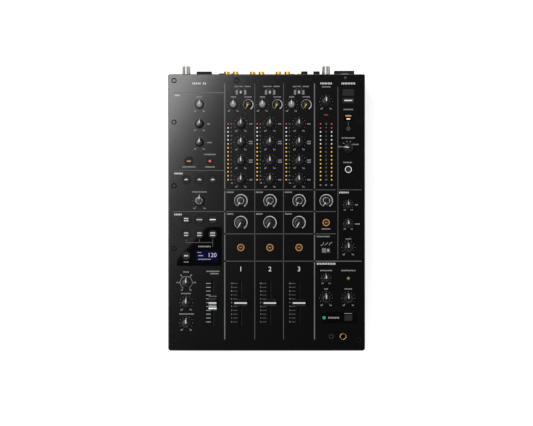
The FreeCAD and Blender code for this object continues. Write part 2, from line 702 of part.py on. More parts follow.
def knob_kinds():
    """One set of pieces for each kind of knob."""
    return {
        "control": knob(CONTROL_KNOB_R, TALL_KNOB_H, False),
        "filter": knob(FILTER_KNOB_R, TALL_KNOB_H, True),
        "send": knob(FILTER_KNOB_R, TALL_KNOB_H, False),
        "trim": knob(TRIM_KNOB_R, SHORT_KNOB_H, False),
        "small": knob(SMALL_KNOB_R, SHORT_KNOB_H, False),
    }


def rotary_pot():
    """Potentiometer body, top face at z = 0, with the well that its spindle turns in."""
    body = block(POT_SIDE, POT_SIDE, POT_H, 0, 0, -POT_H)
    well = SPINDLE_SEAT + SPINDLE_RUN
    return body.cut(rod(SPINDLE_R + SPINDLE_RUN, well + PAST, 0, 0, -well))


def slide_pot():
    """Fader body, top face at z = 0, with the track that its lever runs in."""
    body = block(SLIDE_POT_W, SLOT_LENGTH + 2 * SLIDE_POT_END, SLIDE_POT_H, 0, 0, -SLIDE_POT_H)
    track_h = SLIDE_POT_H - SLIDE_POT_FLOOR
    return body.cut(block(LEVER_THICK + 2 * LEVER_RUN, SLOT_LENGTH, track_h + PAST, 0, 0, -track_h))


def fader_cap(width, length):
    """Cap with a straight ridge across the middle and hollowed finger faces before and behind it."""
    half = length / 2
    ridge = CAP_RIDGE / 2
    hollow = ridge + (half - ridge) * CAP_HOLLOW_AT
    dip = CAP_SHOULDER + (CAP_HEIGHT - CAP_SHOULDER) * CAP_HOLLOW_H
    front = [V(0, -half, 0), V(0, -half, CAP_SHOULDER), V(0, -hollow, dip), V(0, -ridge, CAP_HEIGHT)]
    rear = [V(0, -p.y, p.z) for p in front]
    edges = [
        Part.makeLine(front[0], front[1]),
        Part.Arc(front[1], front[2], front[3]).toShape(),
        Part.makeLine(front[3], rear[3]),
        Part.Arc(rear[3], rear[2], rear[1]).toShape(),
        Part.makeLine(rear[1], rear[0]),
        Part.makeLine(rear[0], front[0]),
    ]
    side = Part.Face(Part.Wire(edges))
    side.translate(V(-width / 2, 0, 0))
    cap = side.extrude(V(width, 0, 0))
    grip_h = LEVER_GRIP + CAP_FIT + PAST
    grip = block(LEVER_THICK + 2 * CAP_FIT, LEVER_LENGTH + 2 * CAP_FIT, grip_h, 0, 0, -PAST)
    return cap.cut(grip)


def fader(x, width, length):
    """Cap and the lever that carries it, standing in its track at the middle of its travel."""
    cap_z = PANEL_TOP + CAP_GAP
    foot = UNDERSIDE - SLIDE_POT_H + SLIDE_POT_FLOOR + LEVER_RUN
    lever = block(LEVER_THICK, LEVER_LENGTH, cap_z + LEVER_GRIP - foot, x, FADER_Y, foot)
    return [placed(fader_cap(width, length), x, FADER_Y, cap_z), lever]


def switch_lever(x, y, width, offset):
    """Slide switch's lever: a plate that covers the opening, with a tip to push."""
    plate_z = PANEL_TOP - SHUTTER_DROP - SHUTTER_H
    plate = block(width, SWITCH_CUT_D - 2 * SWITCH_FIT, SHUTTER_H, x + offset, y, plate_z)
    tip_h = SHUTTER_H + SHUTTER_DROP + TIP_RISE
    tip = block(TIP_W, TIP_D, tip_h, x + offset, y, plate_z)
    return plate.fuse(tip).removeSplitter()


def switch_body(x, y, width):
    """Slide switch's metal body under the opening."""
    top = PANEL_TOP - SHUTTER_DROP - SHUTTER_H - SWITCH_FIT
    rim = 2 * SWITCH_BODY_RIM
    under = block(width + rim, SWITCH_CUT_D + rim, SWITCH_BODY_H, x, y, UNDERSIDE - SWITCH_BODY_H)
    rise = block(width - 2 * SWITCH_FIT, SWITCH_CUT_D - 2 * SWITCH_FIT, top - UNDERSIDE, x, y, UNDERSIDE)
    return under.fuse(rise).removeSplitter()


def button_foot():
    """Height of the underside of every button's flange."""
    return UNDERSIDE - BUTTON_FLANGE_GAP - BUTTON_FLANGE_H


def button(x, y, radius):
    """Round button with an eased top edge and the flange that keeps it in the panel."""
    cap = rod(radius, PANEL_TOP + BUTTON_RISE - button_foot(), x, y, button_foot())
    cap = cap.makeFillet(BUTTON_EDGE, rim_edges(cap, PANEL_TOP + BUTTON_RISE))
    return cap.fuse(rod(radius + BUTTON_FLANGE, BUTTON_FLANGE_H, x, y, button_foot())).removeSplitter()


def wireless_button():
    """Square button in the wireless window."""
    height = PANEL_TOP + BUTTON_RISE - button_foot()
    cap = block(WIRELESS_BUTTON_W, WIRELESS_BUTTON_D, height, RIGHT_X, WIRELESS_Y, button_foot())
    cap = cap.makeFillet(BUTTON_EDGE, rim_edges(cap, PANEL_TOP + BUTTON_RISE))
    flange = 2 * BUTTON_FLANGE
    return cap.fuse(block(WIRELESS_BUTTON_W + flange, WIRELESS_BUTTON_D + flange, BUTTON_FLANGE_H,
                          RIGHT_X, WIRELESS_Y, button_foot())).removeSplitter()


def smoked_windows():
    """Panes let into the panel, flush with its face, with the holes of the buttons in them."""
    z = PANEL_TOP - WINDOW_THICK
    holes = button_holes(z - PAST, WINDOW_THICK + 2 * PAST)
    panes = []
    for x, y, width, depth in WINDOWS:
        pane = pad(width - 2 * WINDOW_FIT, depth - 2 * WINDOW_FIT, WINDOW_THICK, WINDOW_CORNER, x, y, z)
        panes.append(pane.cut([h for h in holes if h.BoundBox.intersect(pane.BoundBox)]))
    return panes


def lamps():
    """Light guides from the control board up through the panel, and the power lamp's short one."""
    top = PANEL_TOP + LAMP_PROUD
    guides = [block(width, LAMP_D, top - BOARD_TOP, x, y, BOARD_TOP) for x, y, width in lamp_places()]
    power_x, power_y, width = power_lamp_place()
    return guides + [block(width, LAMP_D, top - UNDERSIDE, power_x, power_y, UNDERSIDE)]


def circuit_boards():
    """Control board under the panel, main and supply boards in the pan, and what stands on them."""
    width = WIDTH - 2 * BOARD_SIDE_GAP
    length = DEPTH - BOARD_REAR_GAP - BOARD_FRONT_GAP
    control = Part.makeBox(width, length, BOARD, V(-width / 2, FRONT + BOARD_FRONT_GAP, BOARD_TOP - BOARD))
    cut_w = SLIDE_POT_W + 2 * BOARD_CLEAR
    cut_l = SLOT_LENGTH + 2 * SLIDE_POT_END + 2 * BOARD_CLEAR
    cut_z = BOARD_TOP - BOARD - PAST
    tools = [block(cut_w, cut_l, BOARD + 2 * PAST, x, FADER_Y, cut_z) for _, x, _, _ in FADERS]
    usb_w = USB_SHELL[0] + 2 * USB_WALL + 2 * BOARD_CLEAR
    usb_d = USB_SHELL[1] + 2 * USB_WALL + 2 * BOARD_CLEAR
    tools.append(block(usb_w, usb_d, BOARD + 2 * PAST, RIGHT_X, USB_Y, BOARD_TOP - BOARD - PAST))
    pieces = [control.cut(tools)]
    deck = PAN_FLOOR + STANDOFF_H
    pieces.append(block(*MAIN_BOARD, BOARD, *MAIN_BOARD_AT, deck))
    pieces.append(block(*SUPPLY_BOARD, BOARD, *SUPPLY_BOARD_AT, deck))
    pieces.append(block(*PROCESSOR, *MAIN_BOARD_AT, deck + BOARD))
    pieces.append(block(*TRANSFORMER, *SUPPLY_BOARD_AT, deck + BOARD))
    for side in (-1, 1):
        y = SUPPLY_BOARD_AT[1] + side * (TRANSFORMER[1] / 2 + CAPACITOR_PITCH / 2)
        pieces.append(rod(CAPACITOR_R, CAPACITOR_H, SUPPLY_BOARD_AT[0], y, deck + BOARD))
    display_w = DISPLAY_W + 2 * DISPLAY_RIM
    display_d = DISPLAY_D + 2 * DISPLAY_RIM
    pieces.append(block(display_w, display_d, DISPLAY_H, DISPLAY_X, TAP_Y, UNDERSIDE - DISPLAY_H))
    switch_h = button_foot() - BUTTON_SWITCH_GAP - BOARD_TOP
    places = [(x, y) for x, y, _ in BUTTONS] + [(RIGHT_X, WIRELESS_Y)]
    pieces += [block(BUTTON_SWITCH_SIDE, BUTTON_SWITCH_SIDE, switch_h, x, y, BOARD_TOP) for x, y in places]
    pieces += [switch_body(x, y, width) for x, y, width, _, _ in SWITCHES]
    return pieces


def ground_terminal():
    """Stem through the rear panel, collar, neck and domed thumb nut."""
    reach = REAR_RECESS + TERMINAL_REACH
    nut = TERMINAL_COLLAR + TERMINAL_NECK
    ease = KNOB_EDGE
    return turned([
        (0, -PHONO_TAIL), (TERMINAL_STEM_R, -PHONO_TAIL), (TERMINAL_STEM_R, 0), (TERMINAL_R, 0),
        (TERMINAL_R, TERMINAL_COLLAR), (TERMINAL_STEM_R, TERMINAL_COLLAR), (TERMINAL_STEM_R, nut),
        (TERMINAL_R - ease, nut), (TERMINAL_R, nut + ease), (TERMINAL_R, reach - 3 * ease),
        (TERMINAL_R - 2 * ease, reach), (0, reach),
    ])


def phono_jack():
    """Barrel with a flange on the rear panel and a tail behind it."""
    return turned([
        (0, -PHONO_TAIL), (PHONO_TAIL_R, -PHONO_TAIL), (PHONO_TAIL_R, 0), (PHONO_FLANGE_R, 0),
        (PHONO_FLANGE_R, PHONO_FLANGE_H), (PHONO_R, PHONO_FLANGE_H), (PHONO_R, PHONO_REACH),
        (PHONO_BORE, PHONO_REACH), (PHONO_BORE, 0), (0, 0),
    ])


def phone_jack():
    """Round nose through the panel, square body behind it, and the bore for the plug."""
    body = block(PHONE_BODY[0], PHONE_BODY[1], PHONE_BODY[2], 0, 0, -SHEET - PHONE_BODY[2])
    nose = rod(PHONE_JACK_R, PHONE_REACH + SHEET, 0, 0, -SHEET)
    bore = rod(PHONE_BORE_R, PHONE_DEPTH + PHONE_REACH, 0, 0, PHONE_REACH - PHONE_DEPTH)
    return body.fuse(nose).removeSplitter().cut(bore)


def mic_socket():
    """Flanged socket that takes a round microphone plug or a phone plug."""
    flange = pad(*MIC_FLANGE, MIC_REACH, SOCKET_CORNER, 0, 0, 0)
    barrel = rod(MIC_RECESS_R + SOCKET_WALL / 2, MIC_BODY_H, 0, 0, -MIC_BODY_H)
    recess = rod(MIC_RECESS_R, MIC_RECESS_H + PAST, 0, 0, MIC_REACH - MIC_RECESS_H)
    bore = rod(PHONE_BORE_R, MIC_BODY_H + MIC_REACH, 0, 0, MIC_REACH - PHONE_DEPTH)
    return flange.fuse(barrel).removeSplitter().cut([recess, bore])


def output_socket():
    """Flanged round socket with three pins."""
    flange = pad(*OUTPUT_FLANGE, OUTPUT_FLANGE_H, SOCKET_CORNER, 0, 0, 0)
    barrel = rod(OUTPUT_BODY_R, OUTPUT_DEPTH + SOCKET_WALL, 0, 0, -OUTPUT_DEPTH - SOCKET_WALL)
    recess = rod(OUTPUT_RECESS_R, OUTPUT_DEPTH + OUTPUT_FLANGE_H + PAST, 0, 0, -OUTPUT_DEPTH)
    shell = flange.fuse(barrel).removeSplitter().cut(recess)
    pins = []
    for i in range(3):
        angle = math.radians(90 + 120 * i)
        x = OUTPUT_PIN_CIRCLE * math.cos(angle)
        y = OUTPUT_PIN_CIRCLE * math.sin(angle)
        pins.append(rod(OUTPUT_PIN_R, OUTPUT_PIN_LENGTH, x, y, -OUTPUT_DEPTH))
    return shell.fuse(pins).removeSplitter()


def network_socket():
    """Square socket with a stepped mouth."""
    back = NETWORK_DEPTH + SOCKET_WALL
    body = block(*NETWORK_FACE, back + NETWORK_REACH, 0, 0, -back)
    mouth = block(*NETWORK_MOUTH, NETWORK_DEPTH + NETWORK_REACH + PAST, 0, 0, -NETWORK_DEPTH)
    latch_w = NETWORK_MOUTH[0] / 2
    latch = block(latch_w, NETWORK_FACE[1] - 2 * SOCKET_WALL, NETWORK_DEPTH, 0, 0, -NETWORK_DEPTH / 2)
    return body.cut([mouth, latch])


def mains_inlet():
    """Three-blade inlet: flange, raised rim with two bevelled corners, deep mouth."""
    flange = pad(*INLET_FLANGE, INLET_FLANGE_H, SOCKET_CORNER, 0, 0, 0)
    rim = pad(*INLET_RIM, INLET_REACH, SOCKET_CORNER, 0, 0, 0)
    body = block(*inlet_body(), INLET_DEPTH, 0, 0, -INLET_DEPTH)
    mouth_depth = INLET_REACH + INLET_DEPTH - SOCKET_WALL
    mouth = block(*INLET_MOUTH, mouth_depth + PAST, 0, 0, SOCKET_WALL - INLET_DEPTH)
    upper = [e for e in upright_edges(mouth) if e.CenterOfMass.y < 0]
    mouth = mouth.makeChamfer(INLET_BEVEL, upper)
    shell = flange.fuse([rim, body]).removeSplitter().cut(mouth)
    blades = []
    for i in (-1, 0, 1):
        y = INLET_EARTH_DROP / 2 if i else -INLET_EARTH_DROP / 2
        blades.append(block(*INLET_BLADE, i * INLET_BLADE_PITCH, y, SOCKET_WALL - INLET_DEPTH))
    return shell.fuse(blades).removeSplitter()


def power_housing():
    """Bezel and open housing that the rocker tilts in."""
    bezel = pad(*POWER_BEZEL, POWER_BEZEL_H, SOCKET_WALL / 2, 0, 0, 0)
    body = block(*power_body(), POWER_BODY_H, 0, 0, -POWER_BODY_H)
    depth = POWER_BODY_H - SOCKET_WALL
    mouth = block(*POWER_MOUTH, depth + POWER_BEZEL_H + PAST, 0, 0, -depth)
    return bezel.fuse(body).removeSplitter().cut(mouth)


def rocker():
    """Rocker with a shallow V face and a round back, tilted to its on side."""
    half = POWER_MOUTH[1] / 2 - ROCKER_GAP - ROCKER_RISE * math.sin(math.radians(ROCKER_TILT))
    width = POWER_MOUTH[0] - 2 * ROCKER_GAP
    face = POWER_BEZEL_H + ROCKER_RISE
    middle = face - half * math.tan(math.radians(ROCKER_TILT))
    start = V(-width / 2, half, 0)
    edges = [
        Part.makeLine(start, V(-width / 2, half, face)),
        Part.makeLine(V(-width / 2, half, face), V(-width / 2, 0, middle)),
        Part.makeLine(V(-width / 2, 0, middle), V(-width / 2, -half, face)),
        Part.makeLine(V(-width / 2, -half, face), V(-width / 2, -half, 0)),
        Part.Arc(V(-width / 2, -half, 0), V(-width / 2, 0, -ROCKER_DEPTH), start).toShape(),
    ]
    shape = Part.Face(Part.Wire(edges)).extrude(V(width, 0, 0))
    shape.rotate(CENTRE, ACROSS, ROCKER_TILT)
    return shape


def usb_socket():
    """Metal shell under a thin flange, open upwards, with its tongue, and the lid beside it."""
    outer = block(USB_SHELL[0], USB_SHELL[1], USB_DEPTH, 0, 0, -USB_DEPTH)
    flange = pad(*USB_FLANGE, USB_FLANGE_H, USB_FLANGE_H, 0, 0, 0)
    well_w = USB_SHELL[0] - 2 * USB_WALL
    well_d = USB_SHELL[1] - 2 * USB_WALL
    well = block(well_w, well_d, USB_DEPTH + PAST, 0, 0, USB_WALL - USB_DEPTH)
    shell = outer.fuse(flange).removeSplitter().cut(well)
    tongue = block(*USB_TONGUE, USB_DEPTH - 2 * USB_WALL, 0, 0, USB_WALL - USB_DEPTH)
    return shell.fuse(tongue).removeSplitter()


def top_jack(ring_r, bore_r):
    """Headphone jack: ring on the panel, neck through it, body under it."""
    neck_r = ring_r - JACK_RING_H
    body_side = 2 * (ring_r + JACK_BODY_RIM)
    body = block(body_side, body_side, PHONE_DEPTH, 0, 0, -PANEL_THICK - PHONE_DEPTH)
    neck = rod(neck_r, PANEL_THICK, 0, 0, -PANEL_THICK)
    ring = rod(ring_r, JACK_RING_H, 0, 0, 0)
    bore = rod(bore_r, PHONE_DEPTH + PAST, 0, 0, JACK_RING_H - PHONE_DEPTH + PAST)
    return body.fuse([neck, ring]).removeSplitter().cut(bore)


def panel_sockets():
    """Ground terminals and every other socket on the rear panel and on the control panel."""
    pieces = [facing_rear(phone_jack(), x, z) for x, z in PHONE_PLACES]
    pieces += [facing_rear(ground_terminal(), x, LINE_Z) for x in TERMINAL_XS]
    pieces += [facing_rear(output_socket(), x, OUTPUT_Z) for x in OUTPUT_SOCKET_XS]
    pieces.append(facing_rear(network_socket(), NETWORK_X, OUTPUT_Z))
    pieces.append(facing_rear(mains_inlet(), INLET_X, INLET_Z))
    pieces.append(facing_rear(power_housing(), INLET_X, POWER_Z))
    pieces.append(placed(usb_socket(), RIGHT_X, USB_Y, PANEL_TOP))
    lid_w, lid_d, lid_h = USB_LID
    pieces.append(pad(lid_w, lid_d, lid_h, EDGE_ROUND, RIGHT_X, USB_Y + USB_LID_STEP, PANEL_TOP))
    pieces.append(placed(top_jack(MINI_JACK_R, MINI_BORE_R), MINI_JACK_X, JACK_Y, PANEL_TOP))
    pieces.append(placed(top_jack(HEADPHONE_R, PHONE_BORE_R), HEADPHONE_X, JACK_Y, PANEL_TOP))
    return pieces


def foot_places():
    """Feet near the four corners of the pan."""
    across = RIGHT - FOOT_INSET
    return [(i * across, y) for i in (-1, 1) for y in (FRONT + FOOT_INSET, REAR - FOOT_INSET)]


def main():
    """Builds every node and writes it."""
    os.makedirs("parts", exist_ok=True)
    save("base_pan", [base_pan()])
    save("top_panel", [top_panel()])
    save("rear_panel", [rear_panel()])
    save("rubber_feet", [placed(rubber_foot(), x, y) for x, y in foot_places()])
    save("case_screws", [placed(screw(), x, y, PANEL_TOP) for x, y in screw_places()])
    save("smoked_windows", smoked_windows())
    save("circuit_boards", circuit_boards())
    pots = [placed(rotary_pot(), x, y, UNDERSIDE) for _, _, x, y, _ in KNOBS]
    pots += [placed(slide_pot(), x, FADER_Y, UNDERSIDE) for _, x, _, _ in FADERS]
    save("potentiometers", pots)
    save("meter_lamps", lamps())
    save("phono_jacks", [facing_rear(phono_jack(), x, z) for x, z in PHONO_PLACES])
    save("panel_sockets", panel_sockets())
    save("mic_socket", [facing_rear(mic_socket(), MIC_SOCKET_X, MIC_SOCKET_Z)])
    kinds = knob_kinds()
    for name, kind, x, y, turn in KNOBS:
        save(name, [placed(piece, x, y, PANEL_TOP + KNOB_GAP, turn) for piece in kinds[kind]])
    for name, x, width, length in FADERS:
        save(name, fader(x, width, length))
    save("input_selectors", [switch_lever(x, y, lever, at) for x, y, _, lever, at in SWITCHES[:CHANNELS]])
    curve = SWITCHES[-1]
    save("fader_curve_switch", [switch_lever(curve[0], curve[1], curve[3], curve[4])])
    save("push_buttons", [button(*place) for place in BUTTONS] + [wireless_button()])
    save("power_switch", [facing_rear(rocker(), INLET_X, POWER_Z)])


main()
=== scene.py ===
# %% [markdown]
# A three-channel club mixer, seen from straight above. The CAD solids come in as a fixed frame,
# and everything made here is placed from that frame, in metres. Where a solid already has the real
# piece's shape it only gets its finish. Where the eye expects more, such as fluted knobs or printed
# scales, a finer piece is made and rides on the body that carries it.

# %% Load the frame
import json
import math

import bmesh
import bpy
from mathutils import Matrix, Vector


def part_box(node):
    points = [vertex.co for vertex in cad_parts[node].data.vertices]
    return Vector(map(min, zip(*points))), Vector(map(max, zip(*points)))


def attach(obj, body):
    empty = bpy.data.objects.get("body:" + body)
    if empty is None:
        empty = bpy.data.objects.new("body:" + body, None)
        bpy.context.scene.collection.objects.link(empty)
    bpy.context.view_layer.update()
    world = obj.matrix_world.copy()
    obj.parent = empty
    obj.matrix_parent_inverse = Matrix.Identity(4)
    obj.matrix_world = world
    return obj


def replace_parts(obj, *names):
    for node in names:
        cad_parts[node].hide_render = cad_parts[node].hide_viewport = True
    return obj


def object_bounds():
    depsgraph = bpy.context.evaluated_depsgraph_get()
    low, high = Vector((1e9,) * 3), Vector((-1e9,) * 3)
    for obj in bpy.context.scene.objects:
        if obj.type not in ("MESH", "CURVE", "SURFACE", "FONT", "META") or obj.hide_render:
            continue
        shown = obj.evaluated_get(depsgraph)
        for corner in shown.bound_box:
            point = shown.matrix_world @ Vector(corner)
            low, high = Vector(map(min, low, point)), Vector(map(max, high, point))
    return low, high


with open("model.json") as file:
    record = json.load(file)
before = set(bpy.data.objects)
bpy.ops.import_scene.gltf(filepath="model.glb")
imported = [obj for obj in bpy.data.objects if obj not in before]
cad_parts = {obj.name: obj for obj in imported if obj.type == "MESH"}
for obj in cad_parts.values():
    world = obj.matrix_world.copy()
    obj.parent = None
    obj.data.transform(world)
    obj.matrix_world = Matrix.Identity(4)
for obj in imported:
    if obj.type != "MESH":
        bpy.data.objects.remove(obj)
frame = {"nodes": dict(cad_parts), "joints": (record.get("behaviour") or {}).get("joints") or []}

cad_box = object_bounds()
joint_of = {joint["child"]: joint for joint in frame["joints"]}

# %% [markdown]
# The control panel is laid out in millimetres about its own middle, as a draughtsman would draw it:
# x to the right, y towards the rear sockets, z up from the painted face. One matrix turns those
# millimetres into the frame's metres, so every later cell can be read against a ruler.

# %% Panel millimetres
MM = 0.001
panel_low, panel_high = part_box("top_panel")
panel_middle = (panel_low + panel_high) / 2
PANEL_TO_FRAME = Matrix.Translation((panel_middle.x, panel_middle.y, panel_high.z)) @ Matrix.Scale(MM, 4)
FRAME_TO_PANEL = PANEL_TO_FRAME.inverted()


def place_of(node):
    """Where a moving piece's joint stands, in panel millimetres."""
    return FRAME_TO_PANEL @ Vector(joint_of[node]["pos_m"])


CHANNEL_XS = [place_of(f"filter_knob_{i}").x for i in (1, 2, 3)]
LEFT_XS = [place_of("time_knob").x, place_of("mic_high_knob").x, place_of("effects_fader").x]
MASTER_X = place_of("master_level_knob").x
RIGHT_X = place_of("channel_select_knob").x
EQ_YS = [place_of(f"{band}_knob_1").y for band in ("high", "high_mid", "low_mid", "low")]
SEND_Y = place_of("send_knob_1").y
FADER_Y = place_of("channel_fader_1").y
print("channels at x =", [round(x, 1) for x in CHANNEL_XS], "mm")

# %% [markdown]
# Every finish starts as a Principled shader with typical values for the real material. One small
# function adds a node with its settings and links, and one turns sRGB hex into the linear colour
# that the shader wants.

# %% Colours and shader nodes
UNLIT_SHARE = 0.12  # how much of a lit lens's colour is its plastic


def linear(hex_colour):
    """sRGB hex, such as "2b2b2d", as linear RGBA."""
    parts = [int(hex_colour[i:i + 2], 16) / 255 for i in (0, 2, 4)]
    return [c / 12.92 if c <= 0.04045 else ((c + 0.055) / 1.055) ** 2.4 for c in parts] + [1.0]


def add_node(tree, kind, values=None, links=None, **settings):
    """One shader node with its settings, its socket values and what feeds its sockets."""
    made = tree.nodes.new(kind)
    for name, value in settings.items():
        setattr(made, name, value)
    for socket, value in (values or {}).items():
        made.inputs[socket].default_value = value
    for socket, source in (links or {}).items():
        tree.links.new(source, made.inputs[socket])
    return made


def finish_of(name, colour, roughness, metallic=0.0, ior=1.5, glow=0.0):
    """A plain finish; glow is the light that a lit lens gives off in its own colour."""
    made = bpy.data.materials.new(name)
    made.use_nodes = True
    made.diffuse_color = linear(colour)
    shader = made.node_tree.nodes["Principled BSDF"].inputs
    dimming = UNLIT_SHARE if glow else 1.0
    shader["Base Color"].default_value = [c * dimming for c in linear(colour)[:3]] + [1.0]
    shader["Roughness"].default_value = roughness
    shader["Metallic"].default_value = metallic
    if not metallic:
        shader["IOR"].default_value = ior
    if glow:
        shader["Emission Color"].default_value = linear(colour)
        shader["Emission Strength"].default_value = glow
    return made


# %% [markdown]
# No made surface is perfectly even. A mould, a paint gun or a cutter leaves a fine relief and a gloss
# that wanders a little, so each finish gets both from one noise, whose grain is a real size in
# millimetres.

# %% Grain
GRAIN_DETAIL, RELIEF_STRENGTH = 3.0, 0.5


def grained(made, grain_mm, height_mm, rough_low, rough_high, stretch=(1, 1, 1)):
    """Give a finish the fine relief and uneven gloss that its making leaves, at a real grain size."""
    tree = made.node_tree
    shader = tree.nodes["Principled BSDF"]
    where = add_node(tree, "ShaderNodeTexCoord")
    spread = add_node(tree, "ShaderNodeMapping", {"Scale": stretch}, {"Vector": where.outputs["Object"]})
    grain = add_node(tree, "ShaderNodeTexNoise", {"Scale": 1 / (grain_mm * MM), "Detail": GRAIN_DETAIL},
                     {"Vector": spread.outputs["Vector"]})
    gloss = add_node(tree, "ShaderNodeMapRange", {"To Min": rough_low, "To Max": rough_high},
                     {"Value": grain.outputs["Fac"]})
    relief = add_node(tree, "ShaderNodeBump", {"Strength": RELIEF_STRENGTH, "Distance": height_mm * MM},
                      {"Height": grain.outputs["Fac"]})
    tree.links.new(gloss.outputs["Result"], shader.inputs["Roughness"])
    tree.links.new(relief.outputs["Normal"], shader.inputs["Normal"])
    return made


# %% [markdown]
# The case is folded steel under black powder coat, whose beads melt into a faint orange peel. The
# control panel is aluminium under satin paint: smoother, so that a softbox overhead fades across it
# as a broad sheen. Paint grain is far finer than a pixel here, so it is drawn a little coarse.

# %% Painted finishes
# Satin paint: near black, with a soft mirror of the lights.
panel_paint = grained(finish_of("satin_painted_aluminium", "0b0b0c", 0.135), 0.9, 0.001, 0.115, 0.155)
# Powder coat: an orange peel that scatters the light.
powder_coat = grained(finish_of("powder_coated_steel", "0e0e0f", 0.55), 1.4, 0.05, 0.48, 0.62)
# Painted shade in the countersinks: a blacker matt coat that darkens these recesses into black rings
# without shine.
countersink_shade = grained(finish_of("countersink_painted_shade", "060607", 0.8, ior=1.35), 0.6, 0.01, 0.74, 0.86)
print("painted finishes ready")

# %% [markdown]
# Most of what a hand touches is moulded. The mould's own surface decides the gloss: an etched mould
# leaves a matt grain, a polished one a shine. Knobs get a rubbery coat on top, which feels soft and
# shows a silky sheen.

# %% Moulded finishes
# Rubber feet: dull all over.
rubber = grained(finish_of("moulded_rubber", "1a1a1a", 0.8, ior=1.52), 1.0, 0.03, 0.74, 0.86)
# Smoked acrylic: a black mirror. A clear pane reflects at both faces, and the coat is the second one.
acrylic = grained(finish_of("smoked_acrylic", "020203", 0.03, ior=1.49), 6.0, 0.0002, 0.02, 0.04)
pane = acrylic.node_tree.nodes["Principled BSDF"].inputs
pane["Coat Weight"].default_value, pane["Coat Roughness"].default_value = 1.0, 0.02
# Etched ABS: a fine even grain, half matt.
moulded_abs = grained(finish_of("moulded_abs", "171718", 0.42, ior=1.53), 0.6, 0.01, 0.36, 0.5)
# Soft-touch coat on black and on grey knobs: silky highlights down the flutes.
soft_touch = grained(finish_of("soft_touch_coated_abs", "121213", 0.2, ior=1.5), 0.7, 0.003, 0.17, 0.24)
grey_touch = grained(finish_of("grey_coated_abs", "808082", 0.42, ior=1.5), 0.7, 0.006, 0.36, 0.48)
# Polished ABS of the fader caps: clear highlights along the edges.
gloss_abs = grained(finish_of("polished_abs", "111112", 0.2, ior=1.53), 2.0, 0.001, 0.16, 0.26)
# Polyamide of buttons, sockets and knob skirts: the deepest black, quite matt.
polyamide = grained(finish_of("moulded_polyamide", "0a0a0b", 0.7, ior=1.45), 0.8, 0.01, 0.62, 0.78)
# Circuit boards: green lacquer over a woven laminate.
laminate = grained(finish_of("glass_epoxy_laminate", "1f4a2c", 0.45, ior=1.55), 1.2, 0.01, 0.36, 0.5)
# Pointers and lever tips: plain coloured ABS with a soft shine.
pointer_white = grained(finish_of("white_abs_inlay", "e6e6e2", 0.4, ior=1.53), 0.8, 0.004, 0.36, 0.46)
pointer_yellow = grained(finish_of("yellow_abs_inlay", "dccb24", 0.4, ior=1.53), 0.8, 0.004, 0.36, 0.46)
lever_white = grained(finish_of("pale_grey_abs", "a9a9a6", 0.4, ior=1.53), 0.8, 0.004, 0.36, 0.46)
print("moulded finishes ready")

# %% [markdown]
# Metals reflect in their own colour. Plated parts are smooth with a soft blur, stamped switch bodies
# are duller, and the trim rings on the filter knobs are turned, so their grain runs round the axis.
# Black oxide is a thin dark skin grown on steel, so it is shaded as a dark coat. The screws' sloping flanks
# get a blacker matt coat as painted shade.

# %% Metal finishes
# Zinc plate on spindles and levers: grey, softly blurred.
zinc_steel = grained(finish_of("zinc_plated_steel", "8d9092", 0.4, 1.0), 1.5, 0.005, 0.32, 0.5)
# Black zinc on the potentiometers: the same, much darker.
black_zinc = grained(finish_of("black_zinc_steel", "2c2c2e", 0.35, 1.0), 0.5, 0.004, 0.3, 0.42)
# Stamped switch plates: bare and dull.
stamped_steel = grained(finish_of("stamped_steel", "747678", 0.5, 1.0), 1.5, 0.005, 0.45, 0.58)
# Satin nickel on the ground terminals: one broad highlight along each nut.
satin_nickel = grained(finish_of("satin_nickel", "acaca9", 0.45, 1.0), 0.6, 0.004, 0.4, 0.5)
# Black oxide on the flats of the screws: as glossy as the panel round them.
black_oxide = grained(finish_of("black_oxide_steel", "0b0b0c", 0.14, ior=1.5), 0.5, 0.001, 0.12, 0.16)
# Painted shade on the sloping flanks under the screw heads: black without shine, so the countersunk ring
# looks dark.
screw_flank_shade = grained(finish_of("screw_flank_painted_shade", "060607", 0.8, ior=1.35), 0.6, 0.01, 0.74, 0.86)
# Gold plate on the sockets: warm and bright.
gold = grained(finish_of("gold_plate", "c49a48", 0.26, 1.0), 1.0, 0.002, 0.2, 0.3)
# Turned aluminium: pale, with its highlights drawn out by the cutter's grain.
turned_alloy = grained(finish_of("turned_aluminium", "b4b6b8", 0.28, 1.0),
                       0.3, 0.004, 0.22, 0.36, (1, 1, 0.2))
print("metal finishes ready")

# %% [markdown]
# Screen-print ink is a thin matt layer. Four shades are used, because printers lighten titles and
# darken the dividing lines. Lit lenses and the display glow in their own colour, at a strength of
# about 1, so that they look lit and keep their hue.

# %% Inks and lit lenses
# Inks: flat colour with hardly any shine.
ink_white = finish_of("white_screen_ink", "f0f0ee", 0.6)
ink_grey = finish_of("grey_screen_ink", "a8a8a8", 0.6)
ink_dim = finish_of("dark_grey_screen_ink", "4a4a4b", 0.6)
ink_line = finish_of("mid_grey_screen_ink", "6d6d6d", 0.6)
# Lenses: translucent plastic, smooth on top, evenly lit from below.
lens_amber = finish_of("amber_lens", "f0b646", 0.3, glow=1.25)
lens_red = finish_of("red_lens", "de3c48", 0.3, glow=1.1)
lens_white = finish_of("white_lens", "f2f2f0", 0.3, glow=0.9)
lens_orange = finish_of("orange_lens", "cf8e3c", 0.3, glow=0.85)
lens_green = finish_of("green_lens", "2fa58c", 0.3, glow=0.75)
lens_dark_red = finish_of("dim_red_lens", "8e2631", 0.25, glow=0.6)
